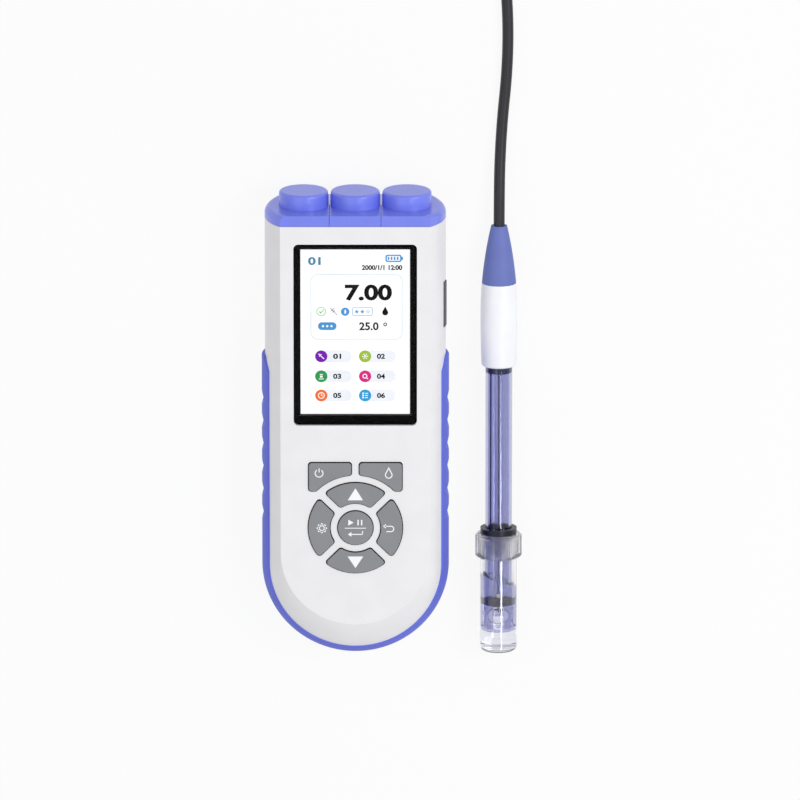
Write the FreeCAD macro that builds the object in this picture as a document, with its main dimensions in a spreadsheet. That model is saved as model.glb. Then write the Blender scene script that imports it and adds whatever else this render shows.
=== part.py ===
import FreeCAD, Part
import math
import operator
import os
from types import SimpleNamespace

import Sketcher

# Portable pH meter with its combined pH electrode, at real size in millimetres.
# The meter lies on its back: +Z leaves the display, +Y points at the port caps, +X at the electrode.
# The origin is on the back rest face, on the meter's centre line.

Vector = FreeCAD.Vector
Rotation = FreeCAD.Rotation
X_AXIS = Vector(1, 0, 0)
Y_AXIS = Vector(0, 1, 0)
Z_AXIS = Vector(0, 0, 1)

SIZES = {
    # Housing: the outline is a strip with a round tail, widest at the parting plane
    "shell_half": 40.5,
    "face_half": 33.5,
    "back_half": 35.5,
    "shell_height": 38.0,
    "parting": 20.0,
    "shell_top": 100.0,
    "tail": -61.2,
    "face_tail": -51.6,
    "face_bulge": 1.7,
    "back_bulge": 1.5,
    "tail_bulge": 3.0,
    "shell_corner": 3.0,
    "hollow_corner": 1.0,
    "wall": 2.4,
    "face_wall": 2.6,
    "back_wall": 2.2,
    "end_wall": 2.4,
    "seal_depth": 0.8,
    "seal_width": 1.0,
    "seal_height": 1.2,
    # Grip band
    "grip_low": 8.0,
    "grip_high": 29.5,
    "grip_thickness": 1.5,
    "grip_edge": 0.7,
    "grip_tip": 36.6,
    "grip_tip_run": 5.8,
    "notch_first": 15.9,
    "notch_pitch": 10.65,
    "notch_depth": 1.3,
    "notch_width": 7.0,
    "notch_count": 6,
    # Display
    "window_half": 27.5,
    "window_low": 8.0,
    "window_high": 91.8,
    "window_corner": 2.2,
    "window_thickness": 1.4,
    "mask_thickness": 0.25,
    "screen_half": 24.5,
    "screen_low": 12.9,
    "screen_high": 89.3,
    "lcd_border": 1.5,
    "lcd_thickness": 2.6,
    "trim_gap": 0.1,
    # Keys
    "key_proud": 0.9,
    "key_travel": 0.8,
    "key_gap": 0.35,
    "key_corner": 1.5,
    "key_edge": 0.4,
    "key_flange": 1.0,
    "flange_thickness": 1.5,
    "flange_gap": 0.3,
    "stem_radius": 2.2,
    "ring_y": -39.7,
    "ring_outer": 21.1,
    "ring_inner": 11.45,
    "ring_split": 3.8,
    "enter_radius": 7.9,
    "top_key_high": -9.3,
    "top_key_low": -22.6,
    "top_key_near": 1.8,
    "top_key_far": 20.9,
    "top_key_arc": 24.6,
    # Circuit board and what it carries
    "board_half": 25.0,
    "board_low": -80.0,
    "board_high": 82.0,
    "board_under": 25.6,
    "board_thickness": 1.6,
    "dome_height": 0.7,
    "dome_radius": 3.5,
    "pillar_radius": 2.6,
    "pillar_x": 20.0,
    "pillar_y": 2.0,
    "low_pillar_x": 15.0,
    "low_pillar_y": -71.0,
    "rest_y": 74.0,
    "board_screw_radius": 1.0,
    "board_screw_length": 6.0,
    "chip_height": 1.2,
    "chip_half": 3.5,
    "chip_column": 10.0,
    "chip_first": 27.0,
    "chip_row": 23.0,
    "processor_half": 5.0,
    "processor_y": 68.0,
    "shield_height": 3.0,
    "shield_half": 16.0,
    "shield_low": 56.0,
    "shield_length": 22.0,
    "buzzer_x": -14.0,
    "buzzer_y": 30.0,
    "buzzer_radius": 6.0,
    "buzzer_height": 4.5,
    # Battery
    "cell_radius": 9.15,
    "cell_length": 65.0,
    "cell_tip": 1.5,
    "cell_tip_radius": 3.0,
    "cell_y": -44.0,
    "bay_half": 11.0,
    "bay_wall": 1.6,
    "contact_thickness": 0.5,
    "contact_half": 6.4,
    "contact_rise": 5.5,
    "spring_length": 3.0,
    "spring_radius": 4.6,
    "spring_tip_radius": 2.3,
    "bay_roof": 1.2,
    "cell_play": 0.3,
    "door_ledge": 5.0,
    "door_thickness": 1.8,
    "door_recess": 0.3,
    "door_gap": 0.2,
    "door_corner": 2.0,
    "door_screw_radius": 1.2,
    "door_screw_length": 7.0,
    "door_head_radius": 2.4,
    "door_head_sink": 0.9,
    # Housing screws
    "screw_x": 29.5,
    "screw_top_y": 76.0,
    "screw_pitch": 66.0,
    "screw_rows": 3,
    "boss_radius": 3.2,
    "screw_radius": 1.45,
    "screw_length": 26.0,
    "screw_head_radius": 2.75,
    "screw_head_height": 2.0,
    "screw_sink": 1.2,
    "driver_slot": 0.55,
    "driver_depth": 0.65,
    # Jacks on the top end
    "jack_inset": 17.4,
    "jack_z": 19.0,
    "jack_reach": 9.5,
    "jack_depth": 11.0,
    "jack_flange": 6.5,
    "jack_edge": 0.4,
    "bnc_radius": 4.75,
    "bnc_bore": 4.05,
    "bnc_stud_radius": 1.0,
    "bnc_stud_span": 11.0,
    "bnc_spigot": 2.3,
    "spigot_inset": 2.0,
    "jack_pin_radius": 0.7,
    "jack_pin_inset": 3.0,
    "jack_pin_tail": 4.0,
    "temperature_radius": 5.0,
    "temperature_bore": 4.2,
    "temperature_face": 2.0,
    "thin_pin_radius": 0.35,
    "thin_pin_offset": 2.1,
    "reference_radius": 4.4,
    "reference_wall": 1.0,
    "reference_bore": 2.0,
    "reference_inset": 1.0,
    "jack_nut_radius": 7.2,
    "jack_nut_height": 2.0,
    # Port caps
    "cap_plate": 5.0,
    "cap_disc": 7.0,
    "cap_disc_gap": 1.1,
    "cap_edge": 1.2,
    "cap_hollow": 7.7,
    "cap_top": 1.8,
    "cap_seam": 0.2,
    "cap_seat": 0.15,
    # Charging port in the right side
    "port_y": 60.7,
    "cover_length": 20.6,
    "cover_low": 21.2,
    "cover_high": 26.2,
    "cover_proud": 0.5,
    "cover_depth": 0.45,
    "cover_gap": 0.25,
    "usb_width": 9.0,
    "usb_height": 3.2,
    "usb_length": 7.5,
    "usb_wall": 0.35,
    "usb_pad": 2.5,
    "usb_back": 0.5,
    "usb_tongue_inset": 1.0,
    # Electrode, along its own axis from the cable end to the bottle
    "electrode_x": 64.4,
    "boot_tip": 92.5,
    "boot_tip_radius": 3.6,
    "boot_base": 66.1,
    "boot_radius": 7.7,
    "boot_bend": 190.0,
    "handle_widest": 50.8,
    "handle_end": 27.9,
    "handle_radius": 8.3,
    "handle_end_radius": 7.85,
    "handle_edge": 0.6,
    "handle_grip": 7.0,
    "tube_radius": 6.0,
    "tube_wall": 1.2,
    "tube_end": -95.3,
    "guard_length": 12.0,
    "guard_slot": 4.2,
    "guard_foot": 1.0,
    "holder_length": 3.0,
    "plug_length": 3.2,
    "stem_glass_radius": 2.4,
    "stem_glass_bore": 1.2,
    "stem_glass_end": -86.5,
    "bulb_radius": 3.9,
    "bulb_y": -88.6,
    "wire_radius": 0.35,
    "wire_gap": 1.0,
    "wire_offset": 3.6,
    "wire_end": -60.0,
    "frit_y": -78.0,
    "frit_radius": 0.9,
    "seal_y": -47.6,
    "seal_radius": 8.2,
    "seal_length": 2.5,
    "nut_gap": 0.2,
    "nut_radius": 10.45,
    "nut_length": 10.8,
    "nut_top": 2.0,
    "nut_chamfer": 0.9,
    "nut_play": 0.3,
    "knurl_count": 60,
    "knurl_depth": 0.4,
    "knurl_width": 0.8,
    "bottle_radius": 8.25,
    "bottle_wall": 1.0,
    "bottle_end": -105.0,
    "bottle_bottom": 1.6,
    "bottle_corner": 2.2,
    "bottle_neck": 7.9,
    # Cable and plug
    "cable_radius": 2.5,
    "coil_x": 31.15,
    "coil_y": 239.0,
    "coil_inner": 15.6,
    "coil_outer": 35.9,
    "coil_height": 10.0,
    "coil_shoulder": 5.5,
    "coil_leave": 27.0,
    "floor_gap": 0.05,
    "tie_width": 6.0,
    "tie_thickness": 0.8,
    "plug_gap": 27.0,
    "plug_boot_length": 15.0,
    "plug_boot_radius": 4.6,
    "plug_boot_mouth": 3.4,
    "plug_body_length": 11.0,
    "plug_body_radius": 5.6,
    "plug_sleeve_length": 14.5,
    "plug_sleeve_radius": 7.25,
    "plug_sleeve_wall": 1.7,
    "plug_sleeve_lap": 3.0,
    "plug_edge": 0.5,
    "plug_slot": 2.2,
    "plug_slot_length": 6.0,
    "plug_tube_radius": 4.6,
    "plug_tube_bore": 3.9,
    "plug_tube_inset": 1.0,
    "plug_pin_radius": 0.7,
    "plug_pin_inset": 1.5,
    "plug_insulation": 1.0,
    "plug_insulator_step": 2.0,
    "plug_play": 0.08,
}

FAR = 300.0  # half the side of a block that stands for all space beyond a plane
PAST = 1.0  # how far a cutting shape reaches past what it cuts, or a joined one into its neighbour

doc = FreeCAD.newDocument("portable_ph_meter")
sheet = doc.addObject("Spreadsheet::Sheet", "Sizes")
for row, (alias, number) in enumerate(SIZES.items(), start=1):
    sheet.set(f"A{row}", alias)
    sheet.set(f"B{row}", str(number))
    sheet.setAlias(f"B{row}", alias)
doc.recompute()


class Size:
    """A number together with the spreadsheet formula that gives it."""

    def __init__(self, value, formula):
        self.value = float(value)
        self.formula = formula

    def __add__(self, other):
        return combine(self, "+", other)

    def __radd__(self, other):
        return combine(other, "+", self)

    def __sub__(self, other):
        return combine(self, "-", other)

    def __rsub__(self, other):
        return combine(other, "-", self)

    def __mul__(self, other):
        return combine(self, "*", other)

    def __rmul__(self, other):
        return combine(other, "*", self)

    def __truediv__(self, other):
        return combine(self, "/", other)

    def __neg__(self):
        return combine(0, "-", self)


OPERATIONS = {"+": operator.add, "-": operator.sub, "*": operator.mul, "/": operator.truediv}


def as_size(thing):
    """Let plain numbers stand beside sizes."""
    if isinstance(thing, Size):
        return thing
    return Size(thing, f"({float(thing)})")


def combine(left, sign, right):
    """Join two sizes into a new one, number and formula alike."""
    left, right = as_size(left), as_size(right)
    value = OPERATIONS[sign](left.value, right.value)
    return Size(value, f"({left.formula} {sign} {right.formula})")


def arc_tangent(slope):
    """Angle in degrees whose tangent is a slope."""
    return Size(math.degrees(math.atan(slope.value)), f"atan({slope.formula})")


d = SimpleNamespace(**{alias: Size(number, f"Sizes.{alias}") for alias, number in SIZES.items()})
nodes = []


def bind(obj, name, size):
    """Tie one property of a document object to a size."""
    obj.setExpression(name, as_size(size).formula)


def place(obj, x=0, y=0, z=0, axis=Z_AXIS, angle=0):
    """Give an object its Placement: turned about an axis, then moved."""
    angle = as_size(angle)
    obj.Placement = FreeCAD.Placement(Vector(), Rotation(axis, angle.value))
    for letter, size in (("x", x), ("y", y), ("z", z)):
        bind(obj, f"Placement.Base.{letter}", size)
    if "Sizes" in angle.formula:
        bind(obj, "Placement.Rotation.Angle", angle)
    return obj


def box(x0, x1, y0, y1, z0, z1):
    """Box between two corners."""
    obj = doc.addObject("Part::Box", "Box")
    bind(obj, "Length", x1 - as_size(x0))
    bind(obj, "Width", y1 - as_size(y0))
    bind(obj, "Height", z1 - as_size(z0))
    return place(obj, x0, y0, z0)


def post(x, y, z0, z1, radius):
    """Cylinder that stands along Z."""
    obj = doc.addObject("Part::Cylinder", "Post")
    bind(obj, "Radius", radius)
    bind(obj, "Height", z1 - as_size(z0))
    return place(obj, x, y, z0)


def rod(x, z, y0, y1, radius):
    """Cylinder that lies along Y."""
    obj = doc.addObject("Part::Cylinder", "Rod")
    bind(obj, "Radius", radius)
    bind(obj, "Height", y1 - as_size(y0))
    return place(obj, x, y0, z, X_AXIS, -90)


def cross_rod(y, z, x0, x1, radius):
    """Cylinder that lies along X."""
    obj = doc.addObject("Part::Cylinder", "CrossRod")
    bind(obj, "Radius", radius)
    bind(obj, "Height", x1 - as_size(x0))
    return place(obj, x0, y, z, Y_AXIS, 90)


def fuse(*shapes):
    """Union, which keeps separate solids separate."""
    obj = doc.addObject("Part::MultiFuse", "Fuse")
    obj.Shapes = list(shapes)
    return obj


def cut(base, *tools):
    """Base without the tools."""
    obj = doc.addObject("Part::Cut", "Cut")
    obj.Base = base
    obj.Tool = tools[0] if len(tools) == 1 else fuse(*tools)
    return obj


def common(base, tool):
    """What two shapes share."""
    obj = doc.addObject("Part::Common", "Common")
    obj.Base = base
    obj.Tool = tool
    return obj


def rounded(base, radius, wanted):
    """Fillet the edges that a test picks out."""
    doc.recompute()
    obj = doc.addObject("Part::Fillet", "Fillet")
    obj.Base = base
    edges = enumerate(base.Shape.Edges, start=1)
    obj.Edges = [(number, radius.value, radius.value) for number, edge in edges if wanted(edge)]
    return obj


def upright(edge):
    """Whether an edge is a straight one along Z."""
    low, high = edge.Vertexes[0].Point, edge.Vertexes[-1].Point
    return math.hypot(high.x - low.x, high.y - low.y) < 1e-6 < abs(high.z - low.z)


def at_height(level):
    """Test for the edges that lie in one horizontal plane."""
    def lies_there(edge):
        bounds = edge.BoundBox
        return abs(bounds.ZMin - level.value) < 1e-4 and abs(bounds.ZMax - level.value) < 1e-4
    return lies_there


def at_depth(level):
    """Test for the edges that lie in one plane across Y."""
    def lies_there(edge):
        bounds = edge.BoundBox
        return abs(bounds.YMin - level.value) < 1e-4 and abs(bounds.YMax - level.value) < 1e-4
    return lies_there


def node(label, obj):
    """Name a finished sub-part, which is written to its own file."""
    obj.Label = label
    nodes.append(obj)
    return obj


def origin_feature(body, role):
    """One of a body's own origin planes or axes."""
    return next(feature for feature in body.Origin.OriginFeatures if feature.Role == role)


def sketch_in(body, plane="XY_Plane"):
    """New sketch on one of a body's origin planes."""
    sketch = body.newObject("Sketcher::SketchObject", "Profile")
    sketch.AttachmentSupport = [(origin_feature(body, plane), "")]
    sketch.MapMode = "FlatFace"
    return sketch


def bound_coordinate(sketch, kind, geometry, point, size):
    """Dimension a point of a sketch from the sketch's origin."""
    index = sketch.addConstraint(Sketcher.Constraint(kind, geometry, point, size.value))
    sketch.setExpression(f"Constraints[{index}]", size.formula)


def polygon(sketch, points, bends=None):
    """Closed outline through dimensioned points; a bend gives a side the radius of a bulging arc."""
    points = [(as_size(x), as_size(y)) for x, y in points]
    bends = bends or {}
    count = len(points)
    for side, (x, y) in enumerate(points):
        start = Vector(x.value, y.value, 0)
        end = Vector(points[(side + 1) % count][0].value, points[(side + 1) % count][1].value, 0)
        if side in bends:
            chord = end - start
            rise = bends[side].value - math.sqrt(bends[side].value ** 2 - chord.Length ** 2 / 4)
            outward = Vector(chord.y, -chord.x, 0).normalize()
            sketch.addGeometry(Part.Arc(start, (start + end) / 2 + outward * rise, end))
        else:
            sketch.addGeometry(Part.LineSegment(start, end))
    ends = [arc_ends(sketch.Geometry[side], points[side]) for side in range(count)]
    for side in range(count):
        following = (side + 1) % count
        sketch.addConstraint(
            Sketcher.Constraint("Coincident", side, ends[side][1], following, ends[following][0]))
        bound_coordinate(sketch, "DistanceX", side, ends[side][0], points[side][0])
        bound_coordinate(sketch, "DistanceY", side, ends[side][0], points[side][1])
        if side in bends:
            index = sketch.addConstraint(Sketcher.Constraint("Radius", side, bends[side].value))
            sketch.setExpression(f"Constraints[{index}]", bends[side].formula)


def arc_ends(curve, start):
    """Which end of a sketch curve is its start: arcs are kept anticlockwise, so theirs may be second."""
    begins = curve.StartPoint
    if math.hypot(begins.x - start[0].value, begins.y - start[1].value) < 1e-6:
        return 1, 2
    return 2, 1


def turned(points, bends=None):
    """Solid of revolution about the Y axis: points are (radius, y) round the half section."""
    body = doc.addObject("PartDesign::Body", "Turned")
    sketch = sketch_in(body)
    polygon(sketch, points, bends)
    revolution = body.newObject("PartDesign::Revolution", "Revolution")
    revolution.Profile = sketch
    revolution.ReferenceAxis = (sketch, ["V_Axis"])
    revolution.Angle = 360
    return body


def prism(points, height):
    """Straight prism that stands on the XY plane."""
    body = doc.addObject("PartDesign::Body", "Prism")
    sketch = sketch_in(body)
    polygon(sketch, points)
    pad = body.newObject("PartDesign::Pad", "Pad")
    pad.Profile = sketch
    bind(pad, "Length", height)
    return body


def draw_outline(sketch, half, tail, top, corner):
    """Draw the housing's outline: a strip with two small corners at the top and a round tail."""
    half, tail, top, corner = (as_size(size) for size in (half, tail, top, corner))
    w, t, h, c = half.value, tail.value, top.value, corner.value
    quarter = math.pi / 2

    def arc(x, y, radius, start):
        return Part.ArcOfCircle(Part.Circle(Vector(x, y, 0), Z_AXIS, radius), start, start + quarter)

    tail_arc = Part.ArcOfCircle(Part.Circle(Vector(0, t, 0), Z_AXIS, w), math.pi, 2 * math.pi)
    sketch.addGeometry([
        tail_arc,
        Part.LineSegment(Vector(w, t, 0), Vector(w, h - c, 0)),
        arc(w - c, h - c, c, 0),
        Part.LineSegment(Vector(w - c, h, 0), Vector(c - w, h, 0)),
        arc(c - w, h - c, c, quarter),
        Part.LineSegment(Vector(-w, h - c, 0), Vector(-w, t, 0)),
    ])
    for side in range(6):
        sketch.addConstraint(Sketcher.Constraint("Tangent", side, 2, (side + 1) % 6, 1))
    sketch.addConstraint(Sketcher.Constraint("Vertical", 1))
    sketch.addConstraint(Sketcher.Constraint("Vertical", 5))
    sketch.addConstraint(Sketcher.Constraint("Horizontal", 3))
    sketch.addConstraint(Sketcher.Constraint("Equal", 2, 4))
    sketch.addConstraint(Sketcher.Constraint("PointOnObject", 0, 3, -2))
    bound_coordinate(sketch, "DistanceY", 0, 3, tail)
    bound_coordinate(sketch, "DistanceY", 3, 1, top)
    for geometry, size in ((0, half), (2, corner)):
        index = sketch.addConstraint(Sketcher.Constraint("Radius", geometry, size.value))
        sketch.setExpression(f"Constraints[{index}]", size.formula)


def outline_slab(half, tail, top, corner, z0, z1):
    """Flat slab with the housing's outline."""
    body = doc.addObject("PartDesign::Body", "Slab")
    sketch = sketch_in(body)
    draw_outline(sketch, half, tail, top, corner)
    pad = body.newObject("PartDesign::Pad", "Pad")
    pad.Profile = sketch
    bind(pad, "Length", z1 - as_size(z0))
    return place(body, z=z0)


def form(stations, top, corner):
    """Smooth solid through housing outlines: stations are (height, half width, tail centre)."""
    sections = []
    for height, half, tail in stations:
        sketch = doc.addObject("Sketcher::SketchObject", "Station")
        draw_outline(sketch, half, tail, top, corner)
        sections.append(place(sketch, z=height))
    obj = doc.addObject("Part::Loft", "Form")
    obj.Sections = sections
    obj.Solid = True
    obj.Ruled = False
    return obj


def blend(low, middle, high, share):
    """Value on the parabola through three evenly spaced values."""
    return (low * (1 - share) * (1 - 2 * share) + middle * 4 * share * (1 - share)
            + high * share * (2 * share - 1))


front_middle_half = (d.shell_half + d.face_half) / 2 + d.face_bulge
front_middle_tail = (d.tail + d.face_tail) / 2 - d.tail_bulge
back_middle_half = (d.shell_half + d.back_half) / 2 + d.back_bulge
cap_base = d.shell_top + d.cap_plate
front_depth = d.shell_height - d.parting


def front_stations(grow):
    """Housing outlines in front of the parting plane, all grown alike."""
    return [(d.parting, d.shell_half + grow, d.tail),
            (d.parting + front_depth / 2, front_middle_half + grow, front_middle_tail),
            (d.shell_height, d.face_half + grow, d.face_tail)]


def side_at(height):
    """Half width and tail centre of the housing at a height on its front half."""
    share = (height - d.parting) / front_depth
    half = blend(d.shell_half, front_middle_half, d.face_half, share)
    return half, blend(d.tail, front_middle_tail, d.face_tail, share)


front_form = form(front_stations(0), cap_base, d.shell_corner)
back_form = form([(0, d.back_half, d.tail), (d.parting / 2, back_middle_half, d.tail),
                  (d.parting, d.shell_half, d.tail)], cap_base, d.shell_corner)
past_end = box(-FAR, FAR, d.shell_top, FAR, -FAR, FAR)
hollow_top = d.shell_top - d.end_wall
roof = d.shell_height - d.face_wall
front_hollow = form([(d.parting, d.shell_half - d.wall, d.tail),
                     ((d.parting + roof) / 2, front_middle_half - d.wall, front_middle_tail),
                     (roof, d.face_half - d.wall, d.face_tail)], hollow_top, d.hollow_corner)
back_hollow = form([(d.back_wall, d.back_half - d.wall, d.tail),
                    ((d.back_wall + d.parting) / 2, back_middle_half - d.wall, d.tail),
                    (d.parting, d.shell_half - d.wall, d.tail)], hollow_top, d.hollow_corner)

board_top = d.board_under + d.board_thickness
screw_places = [(side * d.screw_x, d.screw_top_y - row * d.screw_pitch)
                for row in range(SIZES["screw_rows"]) for side in (-1, 1)]
pillar_places = [(side * x, y) for x, y in ((d.pillar_x, d.pillar_y), (d.low_pillar_x, d.low_pillar_y))
                 for side in (-1, 1)]
jack_x = d.shell_half - d.jack_inset
cap_radius = (jack_x - d.cap_disc_gap) / 2
cap_centres = {"left": -jack_x, "middle": as_size(0), "right": jack_x}


def seal_ring():
    """Gasket between the two shells, which leaves the jack holes free."""
    z0, z1 = d.parting - d.seal_height / 2, d.parting + d.seal_height / 2

    def slab(depth, low, high):
        return outline_slab(d.shell_half - depth, d.tail, d.shell_top - depth, d.hollow_corner, low, high)

    inside = slab(d.seal_depth + d.seal_width, z0 - PAST, z1 + PAST)
    return cut(slab(d.seal_depth, z0, z1), inside, *jack_holes)


def jack_hole(x, radius):
    """Hole through the top end wall for one jack."""
    return rod(x, d.jack_z, hollow_top - d.wall, d.shell_top + d.wall, radius + d.trim_gap)


jack_holes = [jack_hole(-jack_x, d.bnc_radius), jack_hole(0, d.temperature_radius),
              jack_hole(jack_x, d.reference_radius)]
seal = node("housing_seal", seal_ring())

mask_under = d.shell_height - d.window_thickness - d.mask_thickness


def window_plate(grow, z0, z1):
    """Rounded plate over the window's outline, grown by a gap."""
    plate = box(-d.window_half - grow, d.window_half + grow,
                d.window_low - grow, d.window_high + grow, z0, z1)
    return rounded(plate, d.window_corner, upright)


def screen_block(grow, z0, z1):
    """Block over the visible part of the screen, grown all round."""
    return box(-d.screen_half - grow, d.screen_half + grow,
               d.screen_low - grow, d.screen_high + grow, z0, z1)


def display():
    """Clear window, the black frame printed behind it, and the screen panel."""
    node("display_window", window_plate(0, mask_under + d.mask_thickness, d.shell_height))
    mask = cut(window_plate(0, mask_under, mask_under + d.mask_thickness),
               screen_block(0, mask_under - PAST, d.shell_height))
    node("window_mask", mask)
    panel = screen_block(d.lcd_border, roof - d.lcd_thickness, roof)
    node("lcd_panel", fuse(panel, screen_block(d.lcd_border / 2, roof, mask_under)))


def ring_key(turn, grow, z0, z1):
    """One of the four keys of the ring, before it turns to its side; it starts as the upper one."""
    ring = cut(post(0, d.ring_y, z0, z1, d.ring_outer + grow),
               post(0, d.ring_y, z0 - PAST, z1 + PAST, d.ring_inner - grow))
    sector = box(0, FAR, 0, FAR, z0 - PAST, z1 + PAST)
    tip = (d.ring_split / 2 - grow) * math.sqrt(2)
    shift = {0: (0, tip), 90: (-tip, 0), 180: (0, -tip), 270: (tip, 0)}[turn]
    place(sector, shift[0], d.ring_y + shift[1], z0 - PAST, Z_AXIS, 45 + turn)
    return common(ring, sector)


def top_key(side, grow, z0, z1):
    """Key above the ring, on the left (-1) or right (+1)."""
    near, far = d.top_key_near - grow, d.top_key_far + grow
    left, right = (near, far) if side > 0 else (-far, -near)
    block = box(left, right, d.top_key_low - grow, d.top_key_high + grow, z0, z1)
    return cut(block, post(0, d.ring_y, z0 - PAST, z1 + PAST, d.top_key_arc - grow))


def enter_key(grow, z0, z1):
    """Round key in the middle of the ring."""
    return post(0, d.ring_y, z0, z1, d.enter_radius + grow)


KEYS = {
    "power_key": lambda grow, z0, z1: top_key(-1, grow, z0, z1),
    "calibrate_key": lambda grow, z0, z1: top_key(1, grow, z0, z1),
    "up_key": lambda grow, z0, z1: ring_key(0, grow, z0, z1),
    "left_key": lambda grow, z0, z1: ring_key(90, grow, z0, z1),
    "down_key": lambda grow, z0, z1: ring_key(180, grow, z0, z1),
    "right_key": lambda grow, z0, z1: ring_key(270, grow, z0, z1),
    "enter_key": enter_key,
}
ring_middle = (d.ring_outer + d.ring_inner) / 2
top_key_x = (d.top_key_near + d.top_key_far) / 2
top_key_y = d.top_key_high - d.stem_radius - d.key_corner
STEMS = {
    "power_key": (-top_key_x, top_key_y),
    "calibrate_key": (top_key_x, top_key_y),
    "up_key": (0, d.ring_y + ring_middle),
    "left_key": (-ring_middle, d.ring_y),
    "down_key": (0, d.ring_y - ring_middle),
    "right_key": (ring_middle, d.ring_y),
    "enter_key": (0, d.ring_y),
}
flange_top = roof - d.flange_gap


def keys():
    """Keys with rounded tops, a flange under the shell and a stem over their dome."""
    top = d.shell_height + d.key_proud
    stem_end = board_top + d.dome_height + d.key_travel + d.key_gap
    for label, shape in KEYS.items():
        cap = shape(0, flange_top - d.key_edge, top)
        if label != "enter_key":
            cap = rounded(cap, d.key_corner, upright)
        cap = rounded(cap, d.key_edge, at_height(top))
        flange = shape(d.key_flange, flange_top - d.flange_thickness, flange_top)
        x, y = STEMS[label]
        stem = post(x, y, stem_end, flange_top, d.stem_radius)
        node(label, fuse(cap, flange, stem))


def key_holes():
    """Holes in the front shell, each a gap wider than its key."""
    holes = []
    for label, shape in KEYS.items():
        hole = shape(d.key_gap, roof - PAST, d.shell_height + PAST)
        if label != "enter_key":
            hole = rounded(hole, d.key_corner, upright)
        holes.append(hole)
    return holes


port_half = d.cover_length / 2
port_z = (d.cover_low + d.cover_high) / 2
cover_floor = side_at(d.cover_high)[0] - d.cover_depth
usb_face = cover_floor - d.cover_gap


def port_block(x0, x1, grow):
    """Block over the charging port's cover, grown by a gap."""
    return box(x0, x1, d.port_y - port_half - grow, d.port_y + port_half + grow,
               d.cover_low - grow, d.cover_high + grow)


def charging_port():
    """Connector behind the right side wall, and the rubber cover over it."""
    half, low = d.usb_width / 2, port_z - d.usb_height / 2
    block = box(usb_face - d.usb_length, usb_face, d.port_y - half, d.port_y + half,
                low, d.board_under)
    back = usb_face - d.usb_length + d.usb_back
    mouth = box(back + d.usb_back, usb_face + PAST,
                d.port_y - half + d.usb_wall, d.port_y + half - d.usb_wall,
                low + d.usb_wall, low + d.usb_height - d.usb_wall)
    inset = d.usb_tongue_inset
    tongue = box(back, usb_face - inset, d.port_y - half + inset, d.port_y + half - inset,
                 port_z - d.usb_wall, port_z + d.usb_wall)
    node("charging_connector", fuse(cut(block, mouth), tongue))
    skin = form(front_stations(d.cover_proud), cap_base, d.shell_corner)
    node("side_port_cover", common(skin, port_block(cover_floor, FAR, 0)))


def front_shell():
    """Front half of the housing with its openings, screw bosses and board pillars."""
    shell = cut(front_form, front_hollow, past_end)
    bosses = [post(x, y, d.parting, roof + PAST, d.boss_radius) for x, y in screw_places]
    pillars = [post(x, y, board_top, roof + PAST, d.pillar_radius) for x, y in pillar_places]
    pad = box(usb_face - d.usb_pad, d.shell_half, d.port_y - port_half - d.wall,
              d.port_y + port_half + d.wall, d.parting + d.seal_height, d.cover_high + d.wall)
    shell = fuse(shell, common(fuse(*bosses, *pillars, pad), front_form))
    holes = [post(x, y, d.parting - PAST, screw_end, d.screw_radius) for x, y in screw_places]
    holes += [post(x, y, board_top - PAST, board_screw_end, d.board_screw_radius)
              for x, y in pillar_places]
    usb_half = d.usb_width / 2 + d.trim_gap
    usb_low = port_z - d.usb_height / 2 - d.trim_gap
    usb_slot = box(usb_face - d.usb_length, usb_face + PAST, d.port_y - usb_half, d.port_y + usb_half,
                   usb_low, d.board_under + d.trim_gap)
    tools = [window_plate(d.trim_gap, mask_under, d.shell_height + PAST),
             screen_block(d.lcd_border / 2 + d.trim_gap, roof - PAST, d.shell_height + PAST),
             port_block(usb_face, FAR, d.cover_gap), usb_slot, seal]
    node("front_shell", cut(shell, *tools, *key_holes(), *jack_holes, *holes))


screw_start = d.screw_sink + d.screw_head_height
screw_end = screw_start + d.screw_length
board_screw_end = d.board_under + d.board_screw_length
cell_z = d.door_recess + d.door_thickness + d.cell_play + d.cell_radius
bay_top = cell_z + d.cell_radius + d.cell_play
bay_end_gap = d.contact_thickness + d.spring_length
bay_low = d.cell_y - d.cell_length / 2 - bay_end_gap
bay_high = d.cell_y + d.cell_length / 2 + d.contact_thickness
door_inner = d.door_recess + d.door_thickness
door_half = d.bay_half + d.bay_wall
door_low = bay_low - d.door_ledge
door_high = bay_high + d.door_ledge
door_screw_places = [(0, door_low + d.door_ledge / 2), (0, door_high - d.door_ledge / 2)]


def door_plate(grow, z0, z1):
    """Rounded plate over the battery door's outline."""
    plate = box(-door_half - grow, door_half + grow, door_low - grow, door_high + grow, z0, z1)
    return rounded(plate, d.door_corner, upright)


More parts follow.
